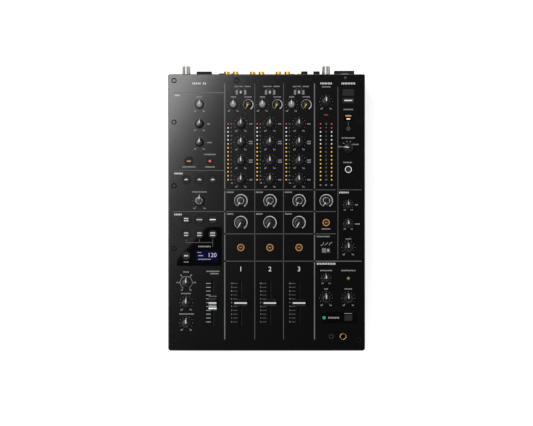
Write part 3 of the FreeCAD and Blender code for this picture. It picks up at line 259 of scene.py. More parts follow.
# Display: a glossy pane with a deep blue backlight, and pale segments.
display_glass = finish_of("display_backlight", "09092e", 0.06, glow=0.8)
display_ink = finish_of("display_segments", "c4c8e0", 0.3, glow=0.8)
for ink in (ink_white, ink_grey, ink_dim, ink_line):
    grained(ink, 0.5, 0.002, 0.55, 0.68)
for lens in (lens_amber, lens_red, lens_white, lens_orange, lens_green, lens_dark_red, display_ink):
    grained(lens, 1.0, 0.001, 0.2, 0.32)
grained(display_glass, 6.0, 0.0005, 0.04, 0.08)
print("inks and lenses ready")

# %% [markdown]
# Most solids keep their own mesh. A node that holds several real materials, such as a socket with a
# gold ring in black plastic, gets them face by face, by where each face lies on the panel.

# %% Dress the solids
SCREW_X = 132.5
SCREW_PLACES = [(side * SCREW_X, y) for y in (188.9, 129.4, 38.2, -51.9, -182.4) for side in (-1, 1)]
SCREW_PLACES += [(-43.0, 188.9), (56.0, 188.9)]
SINK_REACH, SINK_TOP = 3.9, -0.01
REAR_FACE = 195.0
FLANGE_DEPTH = 2.0
TIP_LOW = 0.5


def dress(node, base, *rules):
    """Give a node its finish; a rule is another finish and a test of where a face's middle lies."""
    mesh = frame["nodes"][node].data
    mesh.materials.clear()
    mesh.materials.append(base)
    for index, (other, holds) in enumerate(rules, 1):
        mesh.materials.append(other)
        for face in mesh.polygons:
            if holds(FRAME_TO_PANEL @ face.center):
                face.material_index = index


def beside(middle, x, y, reach_x, reach_y):
    """True where a face's middle is within reach of a place on the panel."""
    return abs(middle.x - x) < reach_x and abs(middle.y - y) < reach_y


def in_sink(middle):
    """True inside a screw's countersink."""
    near = any(beside(middle, x, y, SINK_REACH, SINK_REACH) for x, y in SCREW_PLACES)
    return near and middle.z < SINK_TOP


dress("base_pan", powder_coat)
# The countersinks take the painted shade, a blacker matt coat, so they read as dark rings.
dress("top_panel", panel_paint, (countersink_shade, in_sink))
dress("rear_panel", powder_coat)
dress("rubber_feet", rubber)
dress("smoked_windows", acrylic)
dress("potentiometers", black_zinc)
dress("phono_jacks", gold, (polyamide, lambda middle: middle.y < REAR_FACE - FLANGE_DEPTH))
dress("mic_socket", polyamide)
dress("input_selectors", polyamide, (lever_white, lambda middle: middle.z > TIP_LOW))
dress("fader_curve_switch", polyamide, (lever_white, lambda middle: middle.z > TIP_LOW))
dress("power_switch", moulded_abs)
dress("push_buttons", polyamide)
print("plain solids dressed")

# %% [markdown]
# Two nodes hold many things at once. The circuit boards carry switch bodies, whose stamped end plates
# reach up to the panel, and the sockets' node has a data socket with a steel shell and the two ground
# terminals. Bounds in height and place pick their faces out.

# %% Dress the boards and sockets
BOARD_TOP, PLATE_LOW = -34.0, -2.6
DATA_Y = 160.4
SHELL_REACH, TONGUE_REACH = (6.6, 2.9), (5.8, 1.0)
SHELL_TOP = -0.5
TERMINAL_XS = (-115.6, 85.8)
TERMINAL_LOW, TERMINAL_Y, TERMINAL_REACH = -27.0, REAR_FACE + 8.0, (8.0, 9.0)


def on_terminal(middle):
    """True on either ground terminal."""
    near = any(beside(middle, x, TERMINAL_Y, *TERMINAL_REACH) for x in TERMINAL_XS)
    return near and middle.z > TERMINAL_LOW


dress("circuit_boards", laminate,
      (moulded_abs, lambda middle: BOARD_TOP < middle.z < PLATE_LOW),
      (stamped_steel, lambda middle: middle.z > PLATE_LOW))
dress("panel_sockets", polyamide,
      (black_zinc, lambda middle: beside(middle, RIGHT_X, DATA_Y, *SHELL_REACH) and middle.z < SHELL_TOP),
      (pointer_white, lambda middle: beside(middle, RIGHT_X, DATA_Y, *TONGUE_REACH)),
      (satin_nickel, on_terminal))
print("boards and sockets dressed")

# %% [markdown]
# Each meter is a column of small lamps. The solids are the lamps' dark bodies, and a lit lens will lie
# on each. A lens's colour goes by its row, as on every level meter: red at the top for overload, white
# for a high level and amber below.

# %% Meter lamps
LAMP_PITCH = 5.711
LAMP_ROWS = 15
METER_LEFT, MASTER_HALF = 18.2, 7.9
CHANNEL_REDS, MASTER_REDS, WHITES = 1, 2, 4
POWER_LAMP_Y, POWER_LAMP_REACH = 193.0, 4.0
LENS_SINK, LENS_PROUD = 0.1, 0.06
LAMP_TOP = (FRAME_TO_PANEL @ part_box("meter_lamps")[1]).z
LAMP_LENS = {"low": LAMP_TOP - LENS_SINK, "high": LAMP_TOP + LENS_PROUD}
dress("meter_lamps", acrylic, (ink_dim, lambda middle: abs(middle.y - POWER_LAMP_Y) < POWER_LAMP_REACH))


def lamp_colour(row, reds):
    """Which lens a row of a meter has."""
    if row < reds:
        return "lamp_red"
    return "lamp_white" if row < reds + WHITES else "lamp_amber"


meters = [(x - METER_LEFT, CHANNEL_REDS) for x in CHANNEL_XS]
meters += [(MASTER_X + side * MASTER_HALF, MASTER_REDS) for side in (-1, 1)]
print("meters:", len(meters), "of", LAMP_ROWS, "rows")

# %% [markdown]
# The printing is a layer of ink that stands a few hundredths of a millimetre proud. Each mark is a
# thin closed slab, gathered by ink into one mesh, so that it catches light like real ink and never
# flickers against the paint. Straight marks come first.

# %% Straight marks
INK_LOW, INK_HIGH = -0.03, 0.05
LETTER_PITCH, LETTER_FILL = 0.86, 0.55
sheets = {}


def slab(key, outline, low=INK_LOW, high=INK_HIGH):
    """Closed slab with this outline, added to the sheet of that name."""
    sheet = sheets.setdefault(key, bmesh.new())
    bottom = [sheet.verts.new((x, y, low)) for x, y in outline]
    top = [sheet.verts.new((x, y, high)) for x, y in outline]
    sheet.faces.new(top)
    sheet.faces.new(bottom[::-1])
    for i in range(len(outline)):
        j = (i + 1) % len(outline)
        sheet.faces.new((bottom[i], bottom[j], top[j], top[i]))


def bar(key, x, y, width, depth, **heights):
    """Upright rectangle about x, y."""
    w, d = width / 2, depth / 2
    slab(key, [(x - w, y - d), (x + w, y - d), (x + w, y + d), (x - w, y + d)], **heights)


def stroke(key, start, end, width, **heights):
    """Straight line between two points."""
    along = (Vector(end) - Vector(start)).normalized() * width / 2
    side = (-along.y, along.x)
    ends = [(start, -1), (end, -1), (end, 1), (start, 1)]
    slab(key, [(p[0] + s * side[0], p[1] + s * side[1]) for p, s in ends], **heights)


def lettering(key, x, y, width, height=1.7, **heights):
    """A word's place: a row of small upright bars as wide as its letters."""
    count = max(2, round(width / (height * LETTER_PITCH)))
    step = width / count
    for i in range(count):
        bar(key, x + (i - (count - 1) / 2) * step, y, step * LETTER_FILL, height, **heights)


print("straight marks ready")

# %% [markdown]
# Scales run round the knobs, so some marks are bent. An arc is one strip of small boxes that share
# their ends, closed with a cap at each end, or welded to itself where it goes all the way round.

# %% Round marks
ARC_STEP, ARC_LEAST, DISC_STEP = 6, 8, 15
SWELL = 1.5
WHOLE_TURN = 360
WELD = 1e-4


def round_way(x, y, radius, degrees):
    """Point round a knob, degrees clockwise from straight ahead."""
    turn = math.radians(degrees)
    return (x + radius * math.sin(turn), y + radius * math.cos(turn))


def arc(key, x, y, radius, first, last, thin, thick, low=INK_LOW, high=INK_HIGH):
    """Arc that swells from thin to thick, clockwise between two bearings; a whole turn is a ring."""
    sheet = sheets.setdefault(key, bmesh.new())
    steps = max(ARC_LEAST, round((last - first) / ARC_STEP))
    rows = []
    for i in range(steps + 1):
        turn = first + (last - first) * i / steps
        half = (thin + (thick - thin) * (i / steps) ** SWELL) / 2
        inner, outer = radius - half, radius + half
        section = [(inner, low), (outer, low), (outer, high), (inner, high)]
        rows.append([sheet.verts.new((*round_way(x, y, r, turn), z)) for r, z in section])
    for near, far in zip(rows, rows[1:]):
        for i in range(4):
            sheet.faces.new((near[i - 1], near[i], far[i], far[i - 1]))
    if last - first == WHOLE_TURN:
        bmesh.ops.remove_doubles(sheet, verts=rows[0] + rows[-1], dist=WELD)
    else:
        sheet.faces.new(rows[0])
        sheet.faces.new(rows[-1][::-1])


def ring(key, x, y, outer, inner, **heights):
    """Flat ring, or a disc where there is no inner radius."""
    if inner:
        arc(key, x, y, (outer + inner) / 2, 0, WHOLE_TURN, outer - inner, outer - inner, **heights)
    else:
        slab(key, [round_way(x, y, outer, -t) for t in range(0, WHOLE_TURN, DISC_STEP)], **heights)


print("round marks ready")

# %% [markdown]
# Plain numbers are the only figures that are spelled out. Blender's built-in font draws each one once,
# and its mesh is welded and copied wherever the number stands.

# %% Figures
DIGIT_HEIGHT = 0.69  # height of a figure at size 1
FIGURE_CURVE, FIGURE_DEPTH, FIGURE_WELD = 3, 0.5, 1e-5
glyphs = {}


def glyph(text):
    """Corners and faces of plain figures at size 1, made once each from the built-in font."""
    if text not in glyphs:
        curve = bpy.data.curves.new("figure", "FONT")
        curve.body, curve.align_x, curve.align_y = text, "CENTER", "CENTER"
        curve.resolution_u, curve.extrude = FIGURE_CURVE, FIGURE_DEPTH
        holder = bpy.data.objects.new("figure", curve)
        bpy.context.scene.collection.objects.link(holder)
        bpy.context.view_layer.update()
        mesh = bpy.data.meshes.new_from_object(holder.evaluated_get(bpy.context.evaluated_depsgraph_get()))
        welded = bmesh.new()
        welded.from_mesh(mesh)
        bmesh.ops.remove_doubles(welded, verts=welded.verts, dist=FIGURE_WELD)
        welded.verts.index_update()
        corners = [v.co.copy() for v in welded.verts]
        glyphs[text] = (corners, [[v.index for v in f.verts] for f in welded.faces])
        welded.free()
        bpy.data.objects.remove(holder)
        bpy.data.curves.remove(curve)
        bpy.data.meshes.remove(mesh)
    return glyphs[text]


def figures(key, text, x, y, height, low=INK_LOW, high=INK_HIGH):
    """Plain numbers, height millimetres tall, about x, y."""
    corners, faces = glyph(text)
    sheet = sheets.setdefault(key, bmesh.new())
    scale = height / DIGIT_HEIGHT
    new = [sheet.verts.new((x + c.x * scale, y + c.y * scale, (low + high) / 2 + c.z * (high - low)))
           for c in corners]
    for face in faces:
        sheet.faces.new([new[i] for i in face])


print("figures ready")

# %% [markdown]
# Dividing lines are printed first. Two bold rules part the channels from the outer columns, thin ones
# part the channels, and short gaps are left where lines would cross, so that no corner looks blotted.

# %% Dividing lines
BOLD, THIN = 1.5, 1.0
CROSSING_GAP = 2.6
UPRIGHTS = [(-59.9, "line", BOLD), (68.6, "line", BOLD), (-16.9, "dim", THIN), (24.2, "dim", THIN)]
CROSSINGS = (186, 32.5, 1.4, -30.6, -69.7, -183)
RIGHT_RULE_X, RIGHT_RULE_Y, RIGHT_RULE_LENGTH = 102.1, 56.7, 247
# ink, y, left end, right end
RULES = [("dim", 60.2, -134, -61.5), ("dim", 32.5, -58.4, 67), ("dim", 32.5, 70, 99),
         ("dim", 32.5, 104, 136), ("dim", 1.4, -134, -61.5), ("dim", 1.4, -58.4, 67), ("dim", 1.4, 70, 99),
         ("dim", -30.6, -58.4, 67), ("dim", -30.6, 70, 99), ("dim", -69.7, -58.4, 67),
         ("line", -69.7, 70, 136), ("line", 171.5, -133, -61.5)]
for x, key, width in UPRIGHTS:
    for upper, lower in zip(CROSSINGS, CROSSINGS[1:]):
        bar(key, x, (upper + lower) / 2, width, upper - lower - CROSSING_GAP)
bar("dim", RIGHT_RULE_X, RIGHT_RULE_Y, THIN, RIGHT_RULE_LENGTH)
for key, y, left, right in RULES:
    bar(key, (left + right) / 2, y, right - left, THIN)
print("dividing lines:", len(RULES), "across")

# %% [markdown]
# The forty knobs come in five mouldings, and a knob's name tells which. The same names later tell
# which scale is printed round it, so they are sorted once here.

# %% Kinds of knob
SMALL = {"compressor", "booth_high", "booth_low", "link_cue"}
TRIMS = {"trim", "mic_level", "mic_high", "mic_low"}
RINGED = {"filter", "resonance", "master_filter"}
knob_names = [n for n in frame["nodes"] if "_knob" in n]


def stem(node):
    """A knob's name without its channel number."""
    return node.rstrip("123").rstrip("_").removesuffix("_knob")


def kind_of(node):
    """Which of the five knob mouldings this one is."""
    name = stem(node)
    if name in SMALL:
        return "small"
    if name in TRIMS:
        return "trim"
    if name in RINGED:
        return "ringed"
    return "send" if name == "send" else "control"


print("knobs:", len(knob_names))

# %% [markdown]
# Round each knob the printer lays a ring of dots with two end marks. Knobs that work in one
# direction get an arc that swells clockwise instead. The rings follow the joints, so a knob and its
# scale can't drift apart.

# %% Knob scales
SWEEP, DOT_STEP = 150, 30
SWELLING = {"filter", "send", "master_filter"}
SWELL_R, SWELL_THIN, SWELL_THICK = 8.9, 0.3, 2.1
COMPRESSOR_R, COMPRESSOR_BEND, COMPRESSOR_WIDTHS = 7.0, 40, (0.3, 0.9, 1.5)
TIME_R, TIME_W, TIME_TURNS = 8.7, 0.5, (-SWEEP, -90, -35, 35, 90, SWEEP)
TIME_MARK, TIME_WORD = (9.4, 11.0), 12.6
DOT_RADIUS = {"small": 6.9, "trim": 8.4, "ringed": 9.4, "control": 9.3, "send": 9.0}
DOT_R, MAJOR_R, MAJOR_TURNS = 0.5, 0.6, (-90, 0, 90)
END_IN, END_OUT, MARK_W = 0.4, 1.3, 0.7
SELECT_TURNS, SELECT_MARK = (-80, -46, -13, 18), (8.2, 10.2)
SELECT_WORD_X, SELECT_WORD_Y = -12.6, 1.6


def tick(place, inner, outer, turn):
    """Short mark that points away from a knob."""
    start = round_way(place.x, place.y, inner, turn)
    stroke("grey", start, round_way(place.x, place.y, outer, turn), MARK_W)


def dotted(place, radius):
    """Ring of dots with a mark at each end of the knob's travel."""
    for turn in range(-SWEEP, SWEEP + 1, DOT_STEP):
        x, y = round_way(place.x, place.y, radius, turn)
        ring("line", x, y, MAJOR_R if turn in MAJOR_TURNS else DOT_R, 0)
    for turn in (-SWEEP, SWEEP):
        tick(place, radius - END_IN, radius + END_OUT, turn)


for node in knob_names:
    where, name = place_of(node), stem(node)
    if name in SWELLING:
        arc("white", where.x, where.y, SWELL_R, -SWEEP, SWEEP, SWELL_THIN, SWELL_THICK)
    elif name == "compressor":
        arc("grey", where.x, where.y, COMPRESSOR_R, -SWEEP, COMPRESSOR_BEND, *COMPRESSOR_WIDTHS[:2])
        arc("white", where.x, where.y, COMPRESSOR_R, COMPRESSOR_BEND, SWEEP, *COMPRESSOR_WIDTHS[1:])
    elif name == "time":
        arc("grey", where.x, where.y, TIME_R, -SWEEP, SWEEP, TIME_W, TIME_W)
        for turn in TIME_TURNS:
            tick(where, *TIME_MARK, turn)
            lettering("grey", *round_way(where.x, where.y, TIME_WORD, turn), width=2.8, height=1.6)
    elif name == "channel_select":
        for turn in SELECT_TURNS:
            tick(where, *SELECT_MARK, turn)
    else:
        dotted(where, DOT_RADIUS[kind_of(node)])
select = place_of("channel_select_knob")
lettering("grey", select.x + SELECT_WORD_X, select.y + SELECT_WORD_Y, width=4.4, height=1.6)
print("scales round", len(knob_names), "knobs")

# %% [markdown]
# Lettering is placed by section: a title over each group, a word by each control, and a short mark at
# each end of a scale. Words are only rows of bars, because at this size the eye reads their length and
# weight, so the places are measured and the letters are not.

# %% Lettering
END_MARKS = {"trim": (6.4, 9.4), "control": (6.6, 10.2), "small": (5.1, 7.3), "ringed": (7.2, 10.9)}
UNMARKED = SWELLING | {"compressor", "send", "time", "channel_select"}
# offset from the channel's middle, y, width, height
CHANNEL_WORDS = [(-6.2, 180.4, 6.0, 1.6), (0.2, 180.4, 5.0, 1.6), (9.6, 180.4, 9.0, 1.6),
                 (-10.6, 165.4, 8.0, 1.7), (10.4, 165.4, 10.5, 1.7), (-15.2, 29.0, 10.5, 1.9),
                 (-15.2, -2.1, 9.5, 1.9)]
SELECTOR_RAYS, RAY_LOW, RAY_HIGH, RAY_LEAN = (-4.6, 0, 4.6), 176.3, 178.6, 0.62
EQ_ROWS, EQ_WORD_X, EQ_ROW_STEP, EQ_WIDTHS = (1, 2, 2, 1), 14.2, 3.0, {1: 4.6, 2: 5.6}
for node in knob_names:
    if stem(node) not in UNMARKED:
        where = place_of(node)
        across, down = END_MARKS[kind_of(node)]
        for side in (-1, 1):
            lettering("grey", where.x + side * across, where.y - down, width=3.2, height=1.6)
for x in CHANNEL_XS:
    for offset, y, width, height in CHANNEL_WORDS:
        lettering("grey", x + offset, y, width, height)
    for offset in SELECTOR_RAYS:
        stroke("dim", (x + offset * RAY_LEAN, RAY_LOW), (x + offset, RAY_HIGH), width=0.6)
    for y, rows in zip(EQ_YS, EQ_ROWS):
        for row in range(rows):
            rise = ((rows - 1) / 2 - row) * EQ_ROW_STEP
            lettering("grey", x + EQ_WORD_X, y + rise, EQ_WIDTHS[rows])
print("words in", len(CHANNEL_XS), "channels")

# %% [markdown]
# The outer columns have no rhythm of their own, so their titles and words are listed one by one, as
# measured: a title is larger and whiter than the words under it.

# %% Titles and words
# x, y, width, height
TITLES = [(-128.0, 167.6, 7.0, 1.9), (-100.4, 184.7, 12.6, 2.7), (-89.0, 184.7, 5.4, 2.7),
          (-126.2, 55.8, 12.6, 2.4), (-126.9, -2.9, 11.3, 2.4), (MASTER_X, 184.7, 17.0, 2.6),
          (RIGHT_X, 184.7, 20.0, 2.6), (MASTER_X, -73.4, 27.0, 2.6), (110.8, 28.6, 14.0, 2.4)]
# x, y, width
WORDS = [(-96.8, 165.4, 8.6), (-83.2, 126.7, 4.3), (-81.8, 100.2, 7.0), (-81.1, 83.1, 17.0),
         (-81.1, 65.2, 14.0), (-111.1, 65.2, 19.0), (-96.1, 29.4, 21.0), (-115.4, -85.2, 8.4),
         (-76.8, -84.2, 19.0), (-74.5, -87.6, 12.0), (-115.4, -116.0, 14.0), (-114.8, -145.3, 21.0),
         (MASTER_X, 179.9, 12.6), (MASTER_X, -23.6, 12.6), (81.0, -34.4, 19.0), (MASTER_X, -83.1, 17.0),
         (MASTER_X, -109.5, 5.6), (RIGHT_X, 147.5, 14.0), (RIGHT_X, 106.7, 19.0), (126.6, 97.4, 10.5),
         (116.0, 71.6, 12.6), (128.7, 10.9, 4.2), (130.2, -16.5, 7.0), (RIGHT_X, -37.9, 8.4),
         (RIGHT_X, -83.1, 21.0), (RIGHT_X, -109.5, 11.0)]
for x, y, width, height in TITLES:
    lettering("white", x, y, width, height)
for x, y, width in WORDS:
    lettering("grey", x, y, width)
print("words placed:", len(TITLES) + len(WORDS))

# %% [markdown]
# The lit lenses are laid on the lamps' bodies, row by row. Beside them the meters carry plain numbers,
# which grow towards both ends. They are set in the built-in font and thickened like the rest of the ink.

# %% Meter lenses and numbers
LENS_W = 1.7
CLIP_Y, CLIP_W = 139.7, 6.0
METER_MARKS = [12, 9, 7, 5, 3, 2, 1, 0, 1, 2, 3, 5, 8, 15, 24]
METER_GAP = 4.4
METER_FIGURE, MASTER_FIGURE = 1.9, 2.0
METER_WORD_X, METER_WORD_DOWN, MASTER_WORD_DOWN = 1.2, 4.6, 7.6
for x, reds in meters:
    for row in range(LAMP_ROWS):
        bar(lamp_colour(row, reds), x, EQ_YS[0] - row * LAMP_PITCH, LENS_W, LENS_W, **LAMP_LENS)
bar("lamp_clip", MASTER_X, CLIP_Y, CLIP_W, LENS_W, **LAMP_LENS)
for row, mark in enumerate(METER_MARKS):
    y = EQ_YS[0] - row * LAMP_PITCH
    for x in CHANNEL_XS:
        figures("grey", str(mark), x - METER_LEFT + METER_GAP, y, METER_FIGURE)
    figures("grey", str(mark), MASTER_X, y, MASTER_FIGURE)
for x in CHANNEL_XS:
    word_x = x - METER_LEFT + METER_GAP + METER_WORD_X
    lettering("grey", word_x, EQ_YS[-1] - METER_WORD_DOWN, width=2.8, height=1.6)
for x in (MASTER_X - MASTER_HALF, MASTER_X, MASTER_X + MASTER_HALF):
    lettering("grey", x, EQ_YS[-1] - MASTER_WORD_DOWN, width=2.6, height=1.9)
print("meter lenses:", len(meters) * LAMP_ROWS + 1)

# %% [markdown]
# A fader's scale is a ladder of short ticks beside its slot. The channel faders also get numbers, from
# 10 down to 0, and the channel's own number in large figures above.

# %% Fader scales
TICKS, TICK_PITCH, TICK_D = 11, 5.5, 0.9
TICK_X, TICK_W = 8.0, 6.0
SIDE_TICK_X, SIDE_TICK_W = 6.2, 6.6
NUMBER_X, NUMBER_H = 13.1, 2.1
CHANNEL_NUMBER_Y, CHANNEL_NUMBER_H = -81.3, 6.6
for i in range(TICKS):
    y = FADER_Y + (TICKS // 2 - i) * TICK_PITCH
    for x in CHANNEL_XS:
        bar("dim", x - TICK_X, y, TICK_W, TICK_D)
        figures("grey", str(TICKS - 1 - i), x - NUMBER_X, y, NUMBER_H)
    bar("grey", LEFT_XS[2] - SIDE_TICK_X, y, SIDE_TICK_W, TICK_D)
for number, x in enumerate(CHANNEL_XS, 1):
    figures("white", str(number), x, CHANNEL_NUMBER_Y, CHANNEL_NUMBER_H)
print("fader scale:", TICKS, "marks")

# %% [markdown]
# Three helpers shape what is not flat. Most small hardware is either turned, so a profile is spun about
# an axis, or pulled straight, so an outline is given a width. Both are built as closed skins, because a
# printer or a simulator wants to know which side is inside.

# %% Turned and pulled shapes
SEGMENTS = 96
FLUTES, FLUTE_DEPTH = 16, 0.35


def spin(sheet, profile, finish_index=0, fluted=()):
    """Turn a profile of (radius, height); one that starts off the axis closes on itself."""
    rows = []
    for index, (radius, height) in enumerate(profile):
        if radius == 0:
            rows.append([sheet.verts.new((0, 0, height))])
            continue
        row = []
        for s in range(SEGMENTS):
            turn = 2 * math.pi * s / SEGMENTS
            pull = FLUTE_DEPTH * (0.5 - 0.5 * math.cos(FLUTES * turn)) if index in fluted else 0
            out = radius - pull
            row.append(sheet.verts.new((out * math.sin(turn), out * math.cos(turn), height)))
        rows.append(row)
    if profile[0][0]:
        rows.append(rows[0])
    for low, high in zip(rows, rows[1:]):
        for s in range(SEGMENTS):
            t = (s + 1) % SEGMENTS
            a, b = (low[0], low[0]) if len(low) == 1 else (low[s], low[t])
            c, d = (high[0], high[0]) if len(high) == 1 else (high[t], high[s])
            face = sheet.faces.new(list(dict.fromkeys((b, a, d, c))))
            face.material_index = finish_index
            face.smooth = True


def turned(profile):
    """A single turned piece on a sheet of its own."""
    sheet = bmesh.new()
    spin(sheet, profile)
    bmesh.ops.recalc_face_normals(sheet, faces=sheet.faces)
    return sheet


def upright(sheet, outline, width, finish_index):
    """Closed slab standing in the plane of a pointer: outline in (y, z), width across x."""
    left = [sheet.verts.new((-width / 2, y, z)) for y, z in outline]
    right = [sheet.verts.new((width / 2, y, z)) for y, z in outline]
    faces = [left, right[::-1]]
    faces += [(left[i - 1], right[i - 1], right[i], left[i]) for i in range(len(outline))]
    for corners in faces:
        sheet.faces.new(corners).material_index = finish_index


print("turned shapes have", SEGMENTS, "sides")

# %% [markdown]
# A sheet drawn in millimetres becomes a mesh in metres, and a mesh becomes a piece once it has a place
# and a body to ride on. One mesh can serve many pieces, as one mould serves many knobs.

# %% Meshes and pieces


def mesh_from(name, sheet, *finishes):
    """Mesh in metres from a sheet drawn in millimetres."""
    sheet.transform(Matrix.Scale(MM, 4))
    mesh = bpy.data.meshes.new(name)
    sheet.to_mesh(mesh)
    sheet.free()
    for one in finishes:
        mesh.materials.append(one)
    return mesh


def put(name, mesh, body, place=(0, 0, 0), turn=0.0):
    """A piece at a place in panel millimetres, turned clockwise, riding on a body."""
    piece = bpy.data.objects.new(name, mesh)
    bpy.context.scene.collection.objects.link(piece)
    piece.location = PANEL_TO_FRAME @ Vector(place)
    piece.rotation_euler.z = -math.radians(turn)
    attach(piece, body)
    return piece


# %% [markdown]
# A club knob is a coated moulding: a low matt skirt, a fluted grip that narrows upwards and a slightly
# hollow top, on a steel spindle. A pale inlaid pointer runs over the top and down to the skirt, and the
# filter knobs have a bright trim ring let into the top. A lathe profile is spun into rings, and the
# rings of the grip are pulled in between the flutes.

# %% Knob mouldings
FOOT = 0.8
SKIRT_H, SHOULDER_H = 3.2, 1.2
# skirt radius, height
KNOBS = {"control": (7.0, 17.1), "ringed": (8.2, 17.1), "send": (8.2, 17.1), "trim": (6.3, 15.5),
         "small": (5.5, 15.5)}
GRIP_STEP, TOP_STEP, TOP_GAP = 1.3, 0.7, 0.3
POINTER_W, SLIM_POINTER = 1.4, 1.1
SPINDLE_R, SPINDLE_IN = 3.0, 0.5
SPINDLE_FOOT = (FRAME_TO_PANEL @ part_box(knob_names[0])[0]).z
TRIM_R, TRIM_W, TRIM_H, TRIM_SINK, TRIM_STEP = 4.5, 0.38, 0.45, 0.2, 30
RINGED_START = 2.7
GRIP_FINISH, POINTER_FINISH, TRIM_FINISH, SKIRT_FINISH, SPINDLE_FINISH = range(5)


def pointer_side(kind, skirt_r, grip_r, top_r, skirt, shoulder, top):
    """Side view of the pointer as (y, z), out over the top, down the grip and back inside it."""
    reach = skirt_r - 0.1
    start = RINGED_START if kind == "ringed" else 0.0
    return [(start, top - 0.5), (start, top + 0.3), (top_r - 0.3, top + 0.3), (top_r + 0.35, top - 0.6),
            (grip_r + 0.3, shoulder + 0.3), (grip_r + 0.7, skirt + 0.35), (reach, skirt + 0.1),
            (reach, skirt - 0.6), (grip_r - 1.4, skirt - 0.6), (top_r - 1.4, top - 0.6)]


def knob_moulding(kind):
    """One knob about its axis, foot at the height of the gap over the panel."""
    skirt_r, height = KNOBS[kind]
    grip_r = skirt_r - GRIP_STEP
    top_r = grip_r - TOP_STEP
    skirt = FOOT + SKIRT_H
    shoulder = skirt + SHOULDER_H
    top = FOOT + height - TOP_GAP
    inside = FOOT + SPINDLE_IN
    sheet = bmesh.new()
    # Profiles are (radius, height), eased by a few tenths at every edge.
    spin(sheet, [(0, FOOT), (skirt_r - 0.4, FOOT), (skirt_r, FOOT + 0.5), (skirt_r, skirt - 0.6),
                 (skirt_r - 0.15, skirt - 0.2), (skirt_r - 0.5, skirt), (grip_r - 0.6, skirt + 0.25),
                 (0, skirt + 0.25)], SKIRT_FINISH)
    spin(sheet, [(0, skirt), (grip_r + 0.2, skirt), (grip_r, shoulder), (grip_r - 0.15, shoulder + 1.0),
                 (top_r + 0.12, top - 1.0), (top_r - 0.05, top - 0.4), (top_r - 0.45, top - 0.05),
                 (top_r - 0.9, top), (0, top - 0.15)], GRIP_FINISH, fluted=(2, 3, 4))
    spin(sheet, [(0, SPINDLE_FOOT), (SPINDLE_R, SPINDLE_FOOT), (SPINDLE_R, inside), (0, inside)],
         SPINDLE_FINISH)
    if kind == "ringed":
        around = [math.radians(a) for a in range(180, -180, -TRIM_STEP)]
        spin(sheet, [(TRIM_R + TRIM_W * math.cos(a), top - TRIM_SINK + TRIM_H * math.sin(a))
                     for a in around], TRIM_FINISH)
    side = pointer_side(kind, skirt_r, grip_r, top_r, skirt, shoulder, top)
    upright(sheet, side, SLIM_POINTER if kind in ("ringed", "send") else POINTER_W, POINTER_FINISH)
    bmesh.ops.recalc_face_normals(sheet, faces=sheet.faces)
    return sheet


mouldings = {kind: mesh_from(f"{kind}_knob_moulding", knob_moulding(kind), soft_touch, pointer_white,
                             turned_alloy, polyamide, zinc_steel) for kind in KNOBS}
print("knob mouldings:", {kind: len(mesh.polygons) for kind, mesh in mouldings.items()})

# %% [markdown]
# Each knob stands on its own joint. One that starts at the low end of its scale points to 7 o'clock,
# and the channel selector points to its first channel. Two sets differ only in colour, so they are
# copies of a moulding: yellow pointers for the compressors and grey grips for the trims.

# %% Stand the knobs
REST = {"compressor": -SWEEP, "filter": -SWEEP, "send": -SWEEP, "master_filter": -SWEEP,
        "channel_select": SELECT_TURNS[0]}


def recoloured(kind, name, index, finish):
    """Copy of a moulding with one finish changed."""
    mesh = mouldings[kind].copy()
    mesh.name = name
    mesh.materials[index] = finish
    return mesh


grey_trim = recoloured("trim", "grey_trim_knob_moulding", GRIP_FINISH, grey_touch)
yellow_small = recoloured("small", "compressor_knob_moulding", POINTER_FINISH, pointer_yellow)
special = {"compressor": yellow_small, "trim": grey_trim, "mic_level": grey_trim}
for node in knob_names:
    name = stem(node)
    mesh = special.get(name, mouldings[kind_of(node)])
    where = place_of(node)
    piece = put(f"{node}_cap", mesh, node, (where.x, where.y, 0), REST.get(name, 0))
    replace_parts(piece, node)
print("knobs standing:", len(knob_names))

# %% [markdown]
# A fader cap is a saddle: a straight ridge to push with a fingertip and hollowed faces before and
# behind it, cut with shallow grip lines. Its side view is drawn once and pulled across, narrowing
# upwards, and a white line is inlaid along the ridge. The effects fader is smooth, with a bright plate
# on its near slope.

# %% Fader cap shapes
CAP_FOOT, CAP_H, CAP_SHOULDER = 1.2, 11.0, 3.0
CAP_RIDGE, CAP_EASE, CAP_HOLLOW = 1.4, 0.3, 1.7
GRIPS, GRIP_CUT, GRIP_STEPS = 5, 0.28, 4
CAP_DRAFT, CAP_BEVEL, CAP_LIP = 0.05, 0.4, 0.5
LINE_W, LINE_SINK, LINE_PROUD, LINE_OVER = 1.9, 0.6, 0.06, 0.04
PLATE_TILT = (0.2, 0.95)
LEVER_HALF, LEVER_W, LEVER_IN = 2.0, 1.2, 1.0
CAP_FINISH, LINE_FINISH, LEVER_FINISH, PLATE_FINISH = range(4)


def cap_side(length, grips):
    """Side view of the cap as (y, z), from the front foot over the ridge to the rear foot."""
    half = length / 2
    slope = []
    steps = GRIP_STEPS * GRIPS
    for i in range(steps + 1):
        t = i / steps
        y = half - CAP_LIP - (half - CAP_LIP - CAP_RIDGE) * t
        z = CAP_SHOULDER + (CAP_H - CAP_EASE - CAP_SHOULDER) * t ** CAP_HOLLOW
        cut = grips and 0 < i < steps and i % GRIP_STEPS >= GRIP_STEPS / 2
        slope.append((y, z - GRIP_CUT if cut else z))
    rear = [(half, CAP_BEVEL), (half, CAP_SHOULDER - CAP_LIP)] + slope + [(CAP_RIDGE - CAP_EASE, CAP_H)]
    return [(-y, z) for y, z in rear] + [(y, z) for y, z in rear[::-1]]


def block(sheet, half, low, high, width, finish_index):
    """Upright rectangle about the axis."""
    upright(sheet, [(-half, low), (-half, high), (half, high), (half, low)], width, finish_index)


